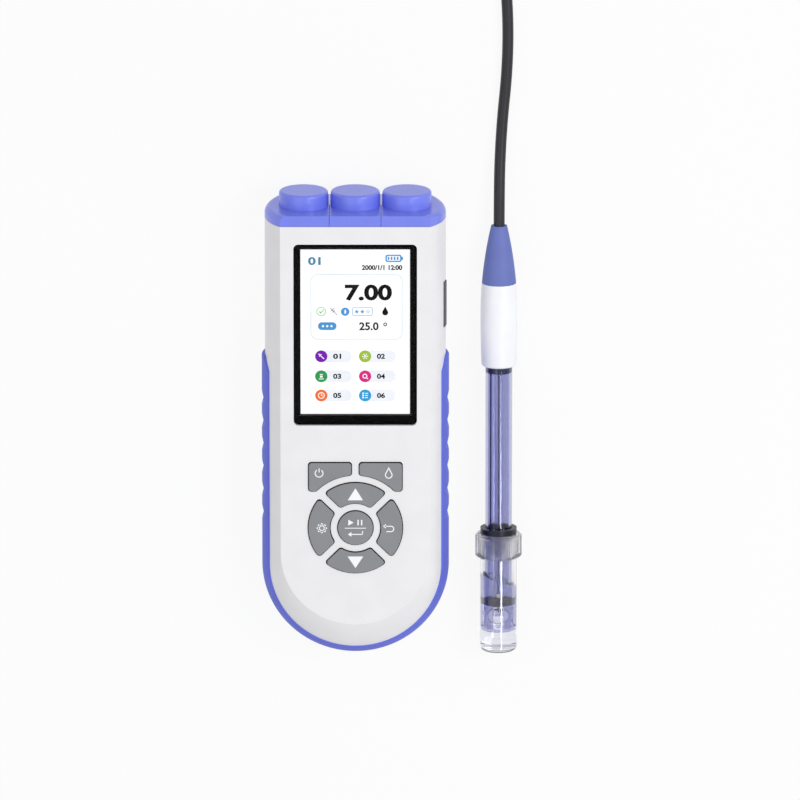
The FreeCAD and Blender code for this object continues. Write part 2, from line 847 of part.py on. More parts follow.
def back_shell():
    """Back half of the housing with the battery bay, screw bosses and board rests."""
    shell = cut(back_form, back_hollow, past_end)
    bay = box(-d.bay_half - d.bay_wall, d.bay_half + d.bay_wall, bay_low - d.bay_wall,
              bay_high + d.bay_wall, d.back_wall / 2, bay_top + d.bay_roof)
    frame = box(-door_half - d.wall, door_half + d.wall, door_low - d.wall, door_high + d.wall,
                d.back_wall / 2, door_inner + d.back_wall)
    screw_towers = [post(x, y, door_inner, door_inner + d.door_screw_length, d.door_head_radius)
                    for x, y in door_screw_places]
    bosses = [post(x, y, d.back_wall / 2, d.parting, d.boss_radius) for x, y in screw_places]
    rests = [post(side * d.pillar_x, d.rest_y, d.back_wall / 2, d.board_under, d.pillar_radius)
             for side in (-1, 1)]
    shell = fuse(shell, bay, frame, *screw_towers, *bosses, *rests)
    holes = [post(x, y, -PAST, d.parting + PAST, d.screw_radius) for x, y in screw_places]
    holes += [post(x, y, -PAST, screw_start, d.screw_head_radius) for x, y in screw_places]
    holes += [post(x, y, 0, door_inner + d.door_screw_length - PAST, d.door_screw_radius)
              for x, y in door_screw_places]
    chamber = box(-d.bay_half, d.bay_half, bay_low, bay_high, -PAST, bay_top)
    recess = door_plate(d.door_gap, -PAST, door_inner)
    node("back_shell", cut(shell, chamber, recess, seal, *jack_holes, *holes))


def battery():
    """Cell, its contacts, and the door with its screws."""
    start = bay_low + bay_end_gap
    end = start + d.cell_length
    can = rod(0, cell_z, start, end - d.cell_tip, d.cell_radius)
    node("battery_cell", fuse(can, rod(0, cell_z, end - d.cell_tip, end, d.cell_tip_radius)))
    half, low, high = d.contact_half, cell_z - d.contact_rise, cell_z + d.contact_rise
    plates = [box(-half, half, bay_low, bay_low + d.contact_thickness, low, high),
              box(-half, half, end, end + d.contact_thickness, low, high)]
    spring = doc.addObject("Part::Cone", "Spring")
    bind(spring, "Radius1", d.spring_radius)
    bind(spring, "Radius2", d.spring_tip_radius)
    bind(spring, "Height", d.spring_length)
    place(spring, 0, bay_low + d.contact_thickness, cell_z, X_AXIS, -90)
    node("battery_contacts", fuse(*plates, spring))
    head_top = d.door_recess + d.door_head_sink
    recesses = [post(x, y, 0, head_top, d.door_head_radius) for x, y in door_screw_places]
    holes = [post(x, y, 0, door_inner + PAST, d.door_screw_radius) for x, y in door_screw_places]
    node("battery_door", cut(door_plate(0, d.door_recess, door_inner), *recesses, *holes))
    head_face = d.door_recess + d.trim_gap
    screws = [fuse(post(x, y, head_face, head_top, d.door_head_radius - d.trim_gap),
                   post(x, y, head_face, d.door_recess + d.door_screw_length, d.door_screw_radius))
              for x, y in door_screw_places]
    node("door_screws", slotted(screws, door_screw_places, head_face, d.door_screw_radius))


def slotted(screws, places, head_z, radius):
    """Screws with a cross recess in each head."""
    slots = []
    half, low, high = d.driver_slot / 2, head_z - PAST, head_z + d.driver_depth
    for x, y in places:
        slots.append(box(x - radius, x + radius, y - half, y + half, low, high))
        slots.append(box(x - half, x + half, y - radius, y + radius, low, high))
    return cut(fuse(*screws), *slots)


def housing_screws():
    """Screws that hold the shells together, from the back."""
    screws = [fuse(post(x, y, d.screw_sink, screw_start, d.screw_head_radius - d.trim_gap),
                   post(x, y, d.screw_sink, screw_end, d.screw_radius)) for x, y in screw_places]
    node("housing_screws", slotted(screws, screw_places, d.screw_sink, d.screw_radius))


def electronics():
    """Circuit board with its parts and its screws."""
    board = box(-d.board_half, d.board_half, d.board_low, d.board_high, d.board_under, board_top)
    low, high = d.board_under - PAST, board_top + PAST
    tail = post(0, d.face_tail, low, high, -d.board_low + d.face_tail)
    straight = box(-FAR, FAR, d.face_tail, FAR, low, high)
    holes = [post(x, y, low, high, d.board_screw_radius) for x, y in pillar_places]
    node("main_board", cut(common(board, fuse(tail, straight)), *holes))
    domes = [post(x, y, board_top, board_top + d.dome_height, d.dome_radius) for x, y in STEMS.values()]
    node("key_domes", fuse(*domes))
    screws = [fuse(post(x, y, d.board_under, board_screw_end, d.board_screw_radius),
                   post(x, y, d.board_under - d.board_screw_radius, d.board_under,
                        2 * d.board_screw_radius)) for x, y in pillar_places]
    node("board_screws", fuse(*screws))
    chips = [chip(side * d.chip_column, d.chip_first + row * d.chip_row, d.chip_half)
             for row in (0, 1) for side in (-1, 1)]
    node("board_chips", fuse(chip(as_size(0), d.processor_y, d.processor_half), *chips))
    node("input_shield", box(-d.shield_half, d.shield_half, d.shield_low, d.shield_low + d.shield_length,
                             d.board_under - d.shield_height, d.board_under))
    node("buzzer", post(d.buzzer_x, d.buzzer_y, d.board_under - d.buzzer_height, d.board_under,
                        d.buzzer_radius))


def chip(x, y, half):
    """Square chip on the board's upper face."""
    return box(x - half, x + half, y - half, y + half, board_top, board_top + d.chip_height)


def jack_body(x, radius, bore, label):
    """Threaded jack barrel with a flange behind the end wall."""
    back, front = hollow_top - d.jack_depth, d.shell_top + d.jack_reach
    points = [(bore, back), (d.jack_flange, back), (d.jack_flange, hollow_top), (radius, hollow_top),
              (radius, front - d.jack_edge), (radius - d.jack_edge, front), (bore, front)]
    barrel = place(turned(points), x, 0, d.jack_z)
    if label != "electrode_jack":
        return node(label, barrel)
    reach = d.bnc_stud_span / 2
    height = front - 2 * d.bnc_stud_radius
    studs = cut(cross_rod(height, d.jack_z, x - reach, x + reach, d.bnc_stud_radius),
                rod(x, d.jack_z, back, front, radius - d.trim_gap))
    return node(label, fuse(barrel, studs))


def hex_nut(x, barrel_radius):
    """Hexagonal nut on a jack, outside the end wall."""
    nut = doc.addObject("Part::Prism", "HexNut")
    nut.Polygon = 6
    bind(nut, "Circumradius", d.jack_nut_radius)
    bind(nut, "Height", d.jack_nut_height)
    place(nut, x, d.shell_top, d.jack_z, X_AXIS, -90)
    bore = rod(x, d.jack_z, d.shell_top - PAST, d.shell_top + d.jack_nut_height + PAST, barrel_radius)
    return cut(nut, bore)


def jacks():
    """Electrode, temperature and reference jacks with their nuts."""
    left, right = -jack_x, jack_x
    back, front = hollow_top - d.jack_depth, d.shell_top + d.jack_reach
    jack_body(left, d.bnc_radius, d.bnc_bore, "electrode_jack")
    insulator = turned([(d.jack_pin_radius, back), (d.bnc_bore, back), (d.bnc_bore, d.shell_top),
                        (d.bnc_spigot, d.shell_top), (d.bnc_spigot, front - d.spigot_inset),
                        (d.jack_pin_radius, front - d.spigot_inset)])
    node("electrode_jack_insulator", place(insulator, left, 0, d.jack_z))
    node("electrode_jack_contact", rod(left, d.jack_z, back - d.jack_pin_tail, front - d.jack_pin_inset,
                                       d.jack_pin_radius))
    jack_body(as_size(0), d.temperature_radius, d.temperature_bore, "temperature_jack")
    offset = d.thin_pin_offset
    filler = rod(0, d.jack_z, back, d.shell_top + d.temperature_face, d.temperature_bore)
    pin_rods = [rod(side * offset, d.jack_z + level * offset, back - d.jack_pin_tail,
                    front - d.jack_pin_inset, d.thin_pin_radius)
                for side in (-1, 1) for level in (-1, 1)]
    node("temperature_jack_insulator", cut(filler, *pin_rods))
    node("temperature_jack_pins", fuse(*pin_rods))
    barrel_bore = d.reference_radius - d.reference_wall
    jack_body(right, d.reference_radius, barrel_bore, "reference_jack")
    low, high = back + d.reference_inset, front - d.reference_inset
    sleeve = turned([(d.reference_bore, low), (barrel_bore, low), (barrel_bore, high),
                     (d.reference_bore, high)])
    node("reference_jack_insulator", place(sleeve, right, 0, d.jack_z))
    node("jack_nuts", fuse(hex_nut(left, d.bnc_radius), hex_nut(as_size(0), d.temperature_radius),
                           hex_nut(right, d.reference_radius)))


def port_caps():
    """Three rubber caps: a plate that follows the housing's section, and a hollow disc over the jack."""
    whole = fuse(front_form, back_form)
    base, top = d.shell_top + d.cap_seat, cap_base + d.cap_disc
    split = jack_x / 2
    inner_edges = {"left": (-FAR, -split), "middle": (-split, split), "right": (split, FAR)}
    for side, (low, high) in inner_edges.items():
        seam = d.cap_seam / 2
        left = low if side == "left" else low + seam
        right = high if side == "right" else high - seam
        plate = common(whole, box(left, right, base, FAR, -FAR, FAR))
        x = cap_centres[side]
        disc = rounded(rod(x, d.jack_z, base + PAST, top, cap_radius), d.cap_edge, at_depth(top))
        hollow = rod(x, d.jack_z, d.shell_top - PAST, top - d.cap_top, d.cap_hollow)
        node(f"{side}_port_cap", cut(fuse(plate, disc), hollow))


def grip_band():
    """Soft band round the sides and tail, with notches for the fingers."""
    high_half, high_tail = side_at(d.grip_high)
    share = d.grip_low / d.parting
    low_half = blend(d.back_half, back_middle_half, d.shell_half, share)
    middle = (d.grip_low + d.grip_high) / 2
    stations = [(d.grip_low, low_half + d.grip_edge, d.tail),
                (middle, d.shell_half + d.grip_thickness, d.tail),
                (d.grip_high, high_half + d.grip_edge, high_tail)]
    band = form(stations, d.grip_tip, d.hollow_corner)
    slope = box(-FAR, FAR, 0, FAR, 0, FAR)
    place(slope, -FAR, d.grip_tip - d.grip_tip_run, d.grip_high, X_AXIS, -45)
    notches = [notch_row(side) for side in (-1, 1)]
    node("grip_band", cut(band, front_form, back_form, slope, *notches))


def notch_row(side):
    """Row of V-shaped notches down one side of the grip band."""
    bottom = d.shell_half + d.grip_thickness - d.notch_depth
    outside = bottom + 2 * d.notch_depth
    row = prism([(side * bottom, d.notch_first),
                 (side * outside, d.notch_first - d.notch_width),
                 (side * outside, d.notch_first + d.notch_width)],
                d.grip_high - d.grip_low + 2 * PAST)
    place(row, z=d.grip_low - PAST)
    pattern = row.newObject("PartDesign::LinearPattern", "NotchPattern")
    pattern.Originals = [row.Group[1]]
    pattern.Direction = (origin_feature(row, "Y_Axis"), [""])
    pattern.Reversed = True
    pattern.Occurrences = SIZES["notch_count"]
    bind(pattern, "Length", d.notch_pitch * (d.notch_count - 1))
    row.Tip = pattern
    return row


def peak_radius(run, rise):
    """Radius of an arc that climbs by a rise over a run and is level at its top."""
    return (run * run + rise * rise) / (rise * 2)


nut_start = d.seal_y - d.seal_length - d.nut_gap
contact_span = d.handle_widest - nut_start + d.nut_chamfer
handle_bend = peak_radius(d.boot_base - d.handle_edge - d.handle_widest,
                          d.handle_radius - d.boot_radius - d.trim_gap)
level_slope = (d.nut_radius - d.handle_radius) / contact_span
tilt_slope = (d.nut_radius - d.handle_radius - handle_bend * level_slope * level_slope / 2) / contact_span
fall = arc_tangent(-tilt_slope)
axis_z = d.nut_radius + tilt_slope * (nut_start - d.nut_chamfer)


def lay(obj, aside=0):
    """Lay an electrode piece down: it rests on its nut and its handle."""
    return place(obj, d.electrode_x + aside, 0, axis_z, X_AXIS, fall)


def axis_height(y):
    """Height of the electrode's axis at a place along it."""
    return axis_z - tilt_slope * y


def electrode_head():
    """Cable boot, handle and the plug between handle and tube."""
    boot = turned([(d.cable_radius, d.boot_base), (d.boot_radius, d.boot_base),
                   (d.boot_tip_radius, d.boot_tip), (d.cable_radius, d.boot_tip)], {1: d.boot_bend})
    node("cable_boot", lay(boot))
    start, end = d.boot_base, d.handle_end
    edge = d.handle_edge
    grip_end = end + d.handle_grip
    low_bend = peak_radius(d.handle_widest - end - edge, d.handle_radius - d.handle_end_radius)
    handle = turned([(d.cable_radius, start), (d.cable_radius, grip_end), (d.tube_radius, grip_end),
                     (d.tube_radius, end), (d.handle_end_radius - edge, end),
                     (d.handle_end_radius, end + edge), (d.handle_radius, d.handle_widest),
                     (d.boot_radius + d.trim_gap, start - edge), (d.boot_radius, start)],
                    {5: low_bend, 6: handle_bend})
    node("electrode_handle", lay(handle))


def electrode_tube():
    """Clear tube with a slotted guard at its end, and what stands inside it."""
    bore = d.tube_radius - d.tube_wall
    top = d.handle_end + d.handle_grip
    tube = turned([(bore, d.tube_end), (d.tube_radius, d.tube_end), (d.tube_radius, top), (bore, top)])
    half = d.guard_slot / 2
    slots = [box(-FAR, FAR, d.tube_end - PAST, d.tube_end + d.guard_length, -half, half),
             box(-half, half, d.tube_end - PAST, d.tube_end + d.guard_length, -FAR, FAR)]
    foot_bore, foot_top = bore - d.guard_foot, d.tube_end + d.tube_wall
    foot = turned([(foot_bore, d.tube_end), (d.tube_radius, d.tube_end), (d.tube_radius, foot_top),
                   (foot_bore, foot_top)])
    frit = post(0, d.frit_y, 0, FAR, d.frit_radius)
    node("electrode_tube", lay(cut(fuse(cut(tube, *slots), foot), frit)))
    node("reference_junction", lay(cut(common(post(0, d.frit_y, 0, FAR, d.frit_radius),
                                              bar(d.tube_radius, d.tube_end, top)),
                                       bar(bore, d.tube_end, top))))
    plug_low = d.handle_end - d.plug_length - d.trim_gap
    wire = bar(d.wire_radius, d.wire_end, plug_low)
    node("reference_wire", lay(wire, -d.wire_offset))
    plug = cut(bar(bore, plug_low, d.handle_end - d.trim_gap),
               bar(d.stem_glass_radius, plug_low - PAST, d.handle_end))
    node("tube_plug", lay(plug))
    stem = bar(d.stem_glass_radius, d.stem_glass_end, top)
    bulb = doc.addObject("Part::Sphere", "Bulb")
    bind(bulb, "Radius", d.bulb_radius)
    place(bulb, 0, d.bulb_y, 0)
    glass = cut(fuse(stem, bulb), rod(0, 0, d.bulb_y, top + PAST, d.stem_glass_bore))
    node("glass_bulb", lay(glass))
    node("silver_wire", lay(bar(d.wire_radius, d.bulb_y + d.wire_gap, top)))
    ring_low = d.tube_end + d.guard_length
    ring_high = ring_low + d.holder_length
    ring = cut(bar(bore, ring_low, ring_high),
               bar(d.stem_glass_radius, ring_low - PAST, ring_high + PAST))
    node("stem_holder", lay(ring))


def bar(radius, y0, y1):
    """Plain round bar about the Y axis."""
    return turned([(0, y0), (radius, y0), (radius, y1), (0, y1)])


def storage_bottle():
    """Soaking bottle, its knurled nut and the seal between nut and tube."""
    seal_end = d.seal_y - d.seal_length
    washer = turned([(d.tube_radius, seal_end), (d.seal_radius, seal_end),
                     (d.seal_radius, d.seal_y), (d.tube_radius, d.seal_y)])
    node("bottle_seal", lay(washer))
    nut_end = nut_start - d.nut_length
    chamfer = d.nut_chamfer
    neck_bore = d.bottle_neck + d.nut_play
    shoulder = nut_start - d.nut_top
    nut = turned([(d.tube_radius + d.nut_play, nut_start), (d.tube_radius + d.nut_play, shoulder),
                  (neck_bore, shoulder), (neck_bore, nut_end), (d.nut_radius - chamfer, nut_end),
                  (d.nut_radius, nut_end + chamfer), (d.nut_radius, nut_start - chamfer),
                  (d.nut_radius - chamfer, nut_start)])
    knurl(nut)
    node("bottle_nut", lay(nut))
    neck_top = shoulder - d.nut_play
    body_top = nut_end - d.nut_play
    bore = d.bottle_radius - d.bottle_wall
    corner = d.bottle_corner
    bottle = turned([(0, d.bottle_end), (d.bottle_radius - corner, d.bottle_end),
                     (d.bottle_radius, d.bottle_end + corner), (d.bottle_radius, body_top),
                     (d.bottle_neck, body_top), (d.bottle_neck, neck_top), (bore, neck_top),
                     (bore, d.bottle_end + d.bottle_bottom), (0, d.bottle_end + d.bottle_bottom)],
                    {1: corner})
    node("storage_bottle", lay(bottle))


def knurl(nut):
    """Cut straight knurls round a nut."""
    sketch = sketch_in(nut, "XZ_Plane")
    outside = d.nut_radius + d.knurl_depth
    polygon(sketch, [(d.nut_radius - d.knurl_depth, 0), (outside, -d.knurl_width),
                     (outside, d.knurl_width)])
    pocket = nut.newObject("PartDesign::Pocket", "Groove")
    pocket.Profile = sketch
    pocket.Type = "ThroughAll"
    pocket.Midplane = True
    pattern = nut.newObject("PartDesign::PolarPattern", "Knurls")
    pattern.Originals = [pocket]
    pattern.Axis = (origin_feature(nut, "Y_Axis"), [""])
    pattern.Angle = 360
    pattern.Occurrences = SIZES["knurl_count"]
    nut.Tip = pattern


def smooth_path(points, share=0.45):
    """Straight runs joined by tangent arcs, each as large as its two runs allow."""
    edges = []
    start = points[0]
    for before, corner, after in zip(points, points[1:], points[2:]):
        back, ahead = before - corner, after - corner
        run = min(back.Length, ahead.Length)
        turn = math.pi - back.getAngle(ahead)
        inset = share * run
        radius = inset / math.tan(turn / 2)
        print(f"cable arc radius {radius:.1f} mm, turn {math.degrees(turn):.1f} degrees")
        entry = corner + back.normalize() * inset
        leave = corner + ahead.normalize() * inset
        centre_way = ((entry + leave) / 2 - corner).normalize()
        middle = corner + centre_way * (radius / math.cos(turn / 2) - radius)
        edges.append(Part.LineSegment(start, entry).toShape())
        edges.append(Part.Arc(entry, middle, leave).toShape())
        start = leave
    edges.append(Part.LineSegment(start, points[-1]).toShape())
    return Part.Wire(edges)


def cable_tube(label, points):
    """Round cable along a route of points."""
    path = smooth_path([Vector(*point) for point in points])
    radius = d.cable_radius.value
    start, towards = Vector(*points[0]), Vector(*points[1])
    circle = Part.Wire(Part.makeCircle(radius, start, towards - start))
    tube = path.makePipeShell([circle], True, False, 2)
    expected = math.pi * radius ** 2 * path.Length
    print(f"{label}: length {path.Length:.1f} mm, volume {tube.Volume / expected:.4f} of section times length")
    obj = doc.addObject("Part::Feature", label)
    obj.Shape = tube
    obj.Placement = FreeCAD.Placement()
    return node(label, obj)


def cable():
    """Cable from the electrode to its coil and on to the plug."""
    x = d.electrode_x.value
    low = (d.cable_radius + d.floor_gap).value
    route = [(x, 80.1, axis_height(80.1).value),
             (x, 104.5, axis_height(104.5).value),
             (64.7, 122.0, 4.15),
             (65.8, 141.0, low),
             (67.8, 161.0, low),
             (68.4, 182.0, low),
             (67.3, 203.0, low),
             (64.2, 225.0, low)]
    cable_tube("electrode_cable", route)
    level = plug_z.value
    cable_tube("cable_tail", [(17.15, 266.7, level - 0.5),
                              (8.15, 266.0, level),
                              (-3.35, 266.0, level)])
    top_inner, top_outer = d.coil_inner + d.cable_radius, d.coil_outer - d.cable_radius
    section = [(d.coil_inner, 0), (d.coil_outer, 0), (d.coil_outer, d.coil_shoulder),
               (top_outer, d.coil_height), (top_inner, d.coil_height), (d.coil_inner, d.coil_shoulder)]
    coil = turned(section)
    node("cable_coil", place(coil, d.coil_x, d.coil_y, d.floor_gap, X_AXIS, 90))


def cable_tie():
    """Hook tie round the coil's turns."""
    middle = (d.coil_inner + d.coil_outer) / 2
    half = (d.coil_outer - d.coil_inner) / 2 + d.tie_thickness
    x = d.coil_x + middle
    top = d.floor_gap + d.coil_height
    outer = box(x - half, x + half, d.coil_y - d.tie_width / 2, d.coil_y + d.tie_width / 2,
                0, top + d.tie_thickness)
    return node("cable_tie", cut(outer, doc.getObjectsByLabel("cable_coil")[0]))


def lay_plug(obj):
    """Lay a plug piece down: its axis runs along -X beside the coil."""
    return place(obj, d.coil_x - d.plug_gap, plug_y, plug_z, Z_AXIS, 90)


plug_y = d.coil_y + d.coil_leave
plug_z = d.plug_sleeve_radius + d.floor_gap


def plug():
    """Bayonet plug on the cable's end."""
    body_start = d.plug_boot_length
    body_end = body_start + d.plug_body_length
    sleeve_start = body_end - d.plug_sleeve_lap
    sleeve_end = sleeve_start + d.plug_sleeve_length
    tube_end = sleeve_end - d.plug_tube_inset
    edge, neck = d.plug_edge, d.plug_tube_radius
    pin_bore = d.plug_pin_radius + d.plug_insulation
    boot = turned([(d.cable_radius, 0), (d.plug_boot_mouth, 0), (d.plug_boot_radius, body_start),
                   (d.cable_radius, body_start)])
    node("plug_boot", lay_plug(boot))
    body = turned([(pin_bore, body_start), (d.plug_body_radius, body_start),
                   (d.plug_body_radius, sleeve_start - edge), (neck, sleeve_start - edge), (neck, tube_end),
                   (d.plug_tube_bore, tube_end), (d.plug_tube_bore, body_end), (pin_bore, body_end)])
    node("plug_body", lay_plug(body))
    pin_start, step = body_start + d.plug_insulation, body_end + d.plug_insulator_step
    filler = turned([(d.plug_pin_radius, pin_start), (pin_bore, pin_start), (pin_bore, body_end),
                     (d.plug_tube_bore, body_end), (d.plug_tube_bore, step), (d.plug_pin_radius, step)])
    node("plug_insulator", lay_plug(filler))
    node("plug_pin", lay_plug(bar(d.plug_pin_radius, pin_start, tube_end - d.plug_pin_inset)))
    outer, bore = d.plug_sleeve_radius, d.plug_sleeve_radius - d.plug_sleeve_wall
    running_bore, lap_end = neck + d.plug_play, sleeve_start + d.plug_sleeve_lap
    sleeve = turned([(running_bore, sleeve_start), (outer - edge, sleeve_start),
                     (outer, sleeve_start + edge), (outer, sleeve_end - edge), (outer - edge, sleeve_end),
                     (bore, sleeve_end), (bore, lap_end), (running_bore, lap_end)])
    half = d.plug_slot / 2
    slot = box(-FAR, FAR, sleeve_end - d.plug_slot_length, sleeve_end + PAST, -half, half)
    node("plug_sleeve", lay_plug(cut(sleeve, slot)))


def check_and_write():
    """Refuse a model with a failed object, then write each sub-part to its own file."""
    doc.recompute()
    failed = [obj.Label for obj in doc.Objects if "Invalid" in obj.State or "Error" in obj.State]
    if failed:
        raise RuntimeError(f"failed objects: {failed}")
    os.makedirs("parts", exist_ok=True)
    for obj in nodes:
        if obj.Shape.isNull() or not obj.Shape.isValid() or not obj.Shape.Solids:
            raise RuntimeError(f"{obj.Label} has no valid solid")
        bounds = obj.Shape.BoundBox
        print(f"{obj.Label}: {len(obj.Shape.Solids)} solids, {obj.Shape.Volume:.1f} mm3, "
              f"x {bounds.XMin:.1f} {bounds.XMax:.1f} y {bounds.YMin:.1f} {bounds.YMax:.1f} "
              f"z {bounds.ZMin:.2f} {bounds.ZMax:.2f}")
        obj.Shape.exportStep(f"parts/{obj.Label}.step")


display()
keys()
charging_port()
front_shell()
back_shell()
battery()
housing_screws()
electronics()
jacks()
port_caps()
grip_band()
electrode_head()
electrode_tube()
storage_bottle()
cable()
cable_tie()
plug()
check_and_write()
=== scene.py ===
import math

import bmesh
import bpy
from mathutils import Matrix, Vector

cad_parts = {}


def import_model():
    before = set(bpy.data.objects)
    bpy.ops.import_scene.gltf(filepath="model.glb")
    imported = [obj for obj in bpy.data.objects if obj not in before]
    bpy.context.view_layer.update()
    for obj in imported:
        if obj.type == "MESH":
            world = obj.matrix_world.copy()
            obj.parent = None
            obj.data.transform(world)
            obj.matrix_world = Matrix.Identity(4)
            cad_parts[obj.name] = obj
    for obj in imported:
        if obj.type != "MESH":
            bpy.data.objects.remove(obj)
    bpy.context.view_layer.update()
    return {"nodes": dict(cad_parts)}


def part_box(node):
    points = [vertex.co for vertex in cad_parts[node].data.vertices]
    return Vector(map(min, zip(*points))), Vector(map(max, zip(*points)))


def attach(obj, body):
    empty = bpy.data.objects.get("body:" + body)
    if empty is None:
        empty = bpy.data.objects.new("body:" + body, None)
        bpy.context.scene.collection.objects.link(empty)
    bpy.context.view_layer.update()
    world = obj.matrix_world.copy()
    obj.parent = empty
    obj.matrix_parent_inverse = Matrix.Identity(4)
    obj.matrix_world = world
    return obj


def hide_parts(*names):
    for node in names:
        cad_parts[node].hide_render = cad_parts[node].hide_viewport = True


# Portable pH meter with its combined electrode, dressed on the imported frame. Lengths are in metres.

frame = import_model()
MM = 0.001

# The electrode's axis, read from the thin wire that runs along it
wire_low, wire_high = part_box("silver_wire")
wire_radius = (wire_high.x - wire_low.x) / 2
AXIS_X = (wire_low.x + wire_high.x) / 2
AXIS_DROP = (wire_high.z - wire_low.z - 2 * wire_radius) / (wire_high.y - wire_low.y)
AXIS_Z = wire_high.z - wire_radius + AXIS_DROP * wire_low.y
ALONG_AXIS = Matrix.Translation((AXIS_X, 0, AXIS_Z)) @ Matrix.Rotation(-math.atan(AXIS_DROP), 4, "X")

# View: straight above the meter, leaning towards the port caps
VIEW_TARGET = Vector((0.020, 0.0144, 0.019))
VIEW_TILT = math.radians(16)
VIEW_DISTANCE = 5.984
VIEW_LENS = 600

# Cable, with the height of its middle line on the floor and in its plug, and where it leaves its boot
CABLE_DIAMETER = 0.005
CABLE_LOW = 0.00255
PLUG_HEIGHT = 0.0073
COIL_X, COIL_Y = 0.03115, 0.239
COIL_FIRST_RADIUS = 0.03335
COIL_PITCH = 0.00507
COIL_LOWER_TURNS = 3
COIL_TURNS = 5.25
COIL_POINTS_PER_TURN = 16
# Share of each upper turn in which it steps outwards by one pitch
COIL_STEP_SHARE = 0.25


def axis_point(y):
    """Point on the electrode's axis."""
    return AXIS_X, y, AXIS_Z - AXIS_DROP * y


def link(obj):
    """Show a new object in the scene."""
    bpy.context.scene.collection.objects.link(obj)
    return obj


def camera():
    """Camera at the photograph's angle, with the port caps at the top of the picture."""
    made = link(bpy.data.objects.new("camera", bpy.data.cameras.new("camera")))
    away = Vector((0, math.sin(VIEW_TILT), math.cos(VIEW_TILT)))
    made.location = VIEW_TARGET + VIEW_DISTANCE * away
    made.rotation_euler = (-VIEW_TILT, 0, 0)
    made.data.lens = VIEW_LENS
    bpy.context.scene.camera = made


def smooth_step(share):
    """Ease from 0 to 1."""
    share = min(max(share, 0), 1)
    return share * share * (3 - 2 * share)


def coil_point(turn):
    """Point of the coil: a spiral that winds inwards on the floor, climbs, and winds outwards on top."""
    inner = COIL_FIRST_RADIUS - COIL_PITCH * COIL_LOWER_TURNS
    above = turn - COIL_LOWER_TURNS
    if above <= 0:
        radius, height = COIL_FIRST_RADIUS - COIL_PITCH * turn, CABLE_LOW
    else:
        climb = 1 - (1 - min(above, 1)) ** 4
        outer_turn = max(above - 1, 0)
        whole = math.floor(outer_turn)
        radius = inner + COIL_PITCH * (whole + smooth_step((outer_turn - whole) / COIL_STEP_SHARE))
        height = CABLE_LOW + climb * CABLE_DIAMETER
    angle = 2 * math.pi * turn
    return COIL_X + radius * math.cos(angle), COIL_Y + radius * math.sin(angle), height


def cable_route():
    """The cable's points from inside its boot, over the floor, round the coil and into the plug."""
    route = [axis_point(0.0801),
             axis_point(0.1045),
             (0.0647, 0.122, 0.00415),
             (0.0658, 0.141, CABLE_LOW),
             (0.0678, 0.161, CABLE_LOW),
             (0.0684, 0.182, CABLE_LOW),
             (0.0673, 0.203, CABLE_LOW),
             (0.0642, 0.225, CABLE_LOW)]
    steps = round(COIL_TURNS * COIL_POINTS_PER_TURN)
    route += [coil_point(step / COIL_POINTS_PER_TURN) for step in range(steps + 1)]
    route += [(0.01715, 0.2667, PLUG_HEIGHT),
              (0.00815, 0.2660, PLUG_HEIGHT),
              (-0.00335, 0.2660, PLUG_HEIGHT)]
    return route


def cable():
    """The electrode's lead as one smooth curve."""
    curve = bpy.data.curves.new("electrode_lead", "CURVE")
    curve.dimensions = "3D"
    curve.bevel_depth = 1.0  # scaled by each point's radius, so that the curve's own box is the cable's
    curve.bevel_resolution = 6
    curve.resolution_u = 6
    curve.use_fill_caps = True
    route = cable_route()
    spline = curve.splines.new("NURBS")
    spline.points.add(len(route) - 1)
    for point, place in zip(spline.points, route):
        point.co = (*place, 1)
        point.radius = CABLE_DIAMETER / 2
    spline.order_u = 3
    spline.use_endpoint_u = True
    lead = link(bpy.data.objects.new("electrode_lead", curve))
    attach(lead, "electrode")
    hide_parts("electrode_cable", "cable_coil", "cable_tail")
    return lead


camera()
lead = cable()


def linear(red, green, blue):
    """Linear colour from 8-bit screen values."""
    return tuple(((v / 255 + 0.055) / 1.055) ** 2.4 if v > 10 else v / 255 / 12.92
                 for v in (red, green, blue)) + (1,)


WHITE = (1, 1, 1, 1)


def shaded(colour, factor):
    """The same colour, lighter or darker."""
    return tuple(min(value * factor, 1) for value in colour[:3]) + (1,)


# Most of a noise lies between these two values
NOISE_LOW = 0.3
NOISE_HIGH = 0.7


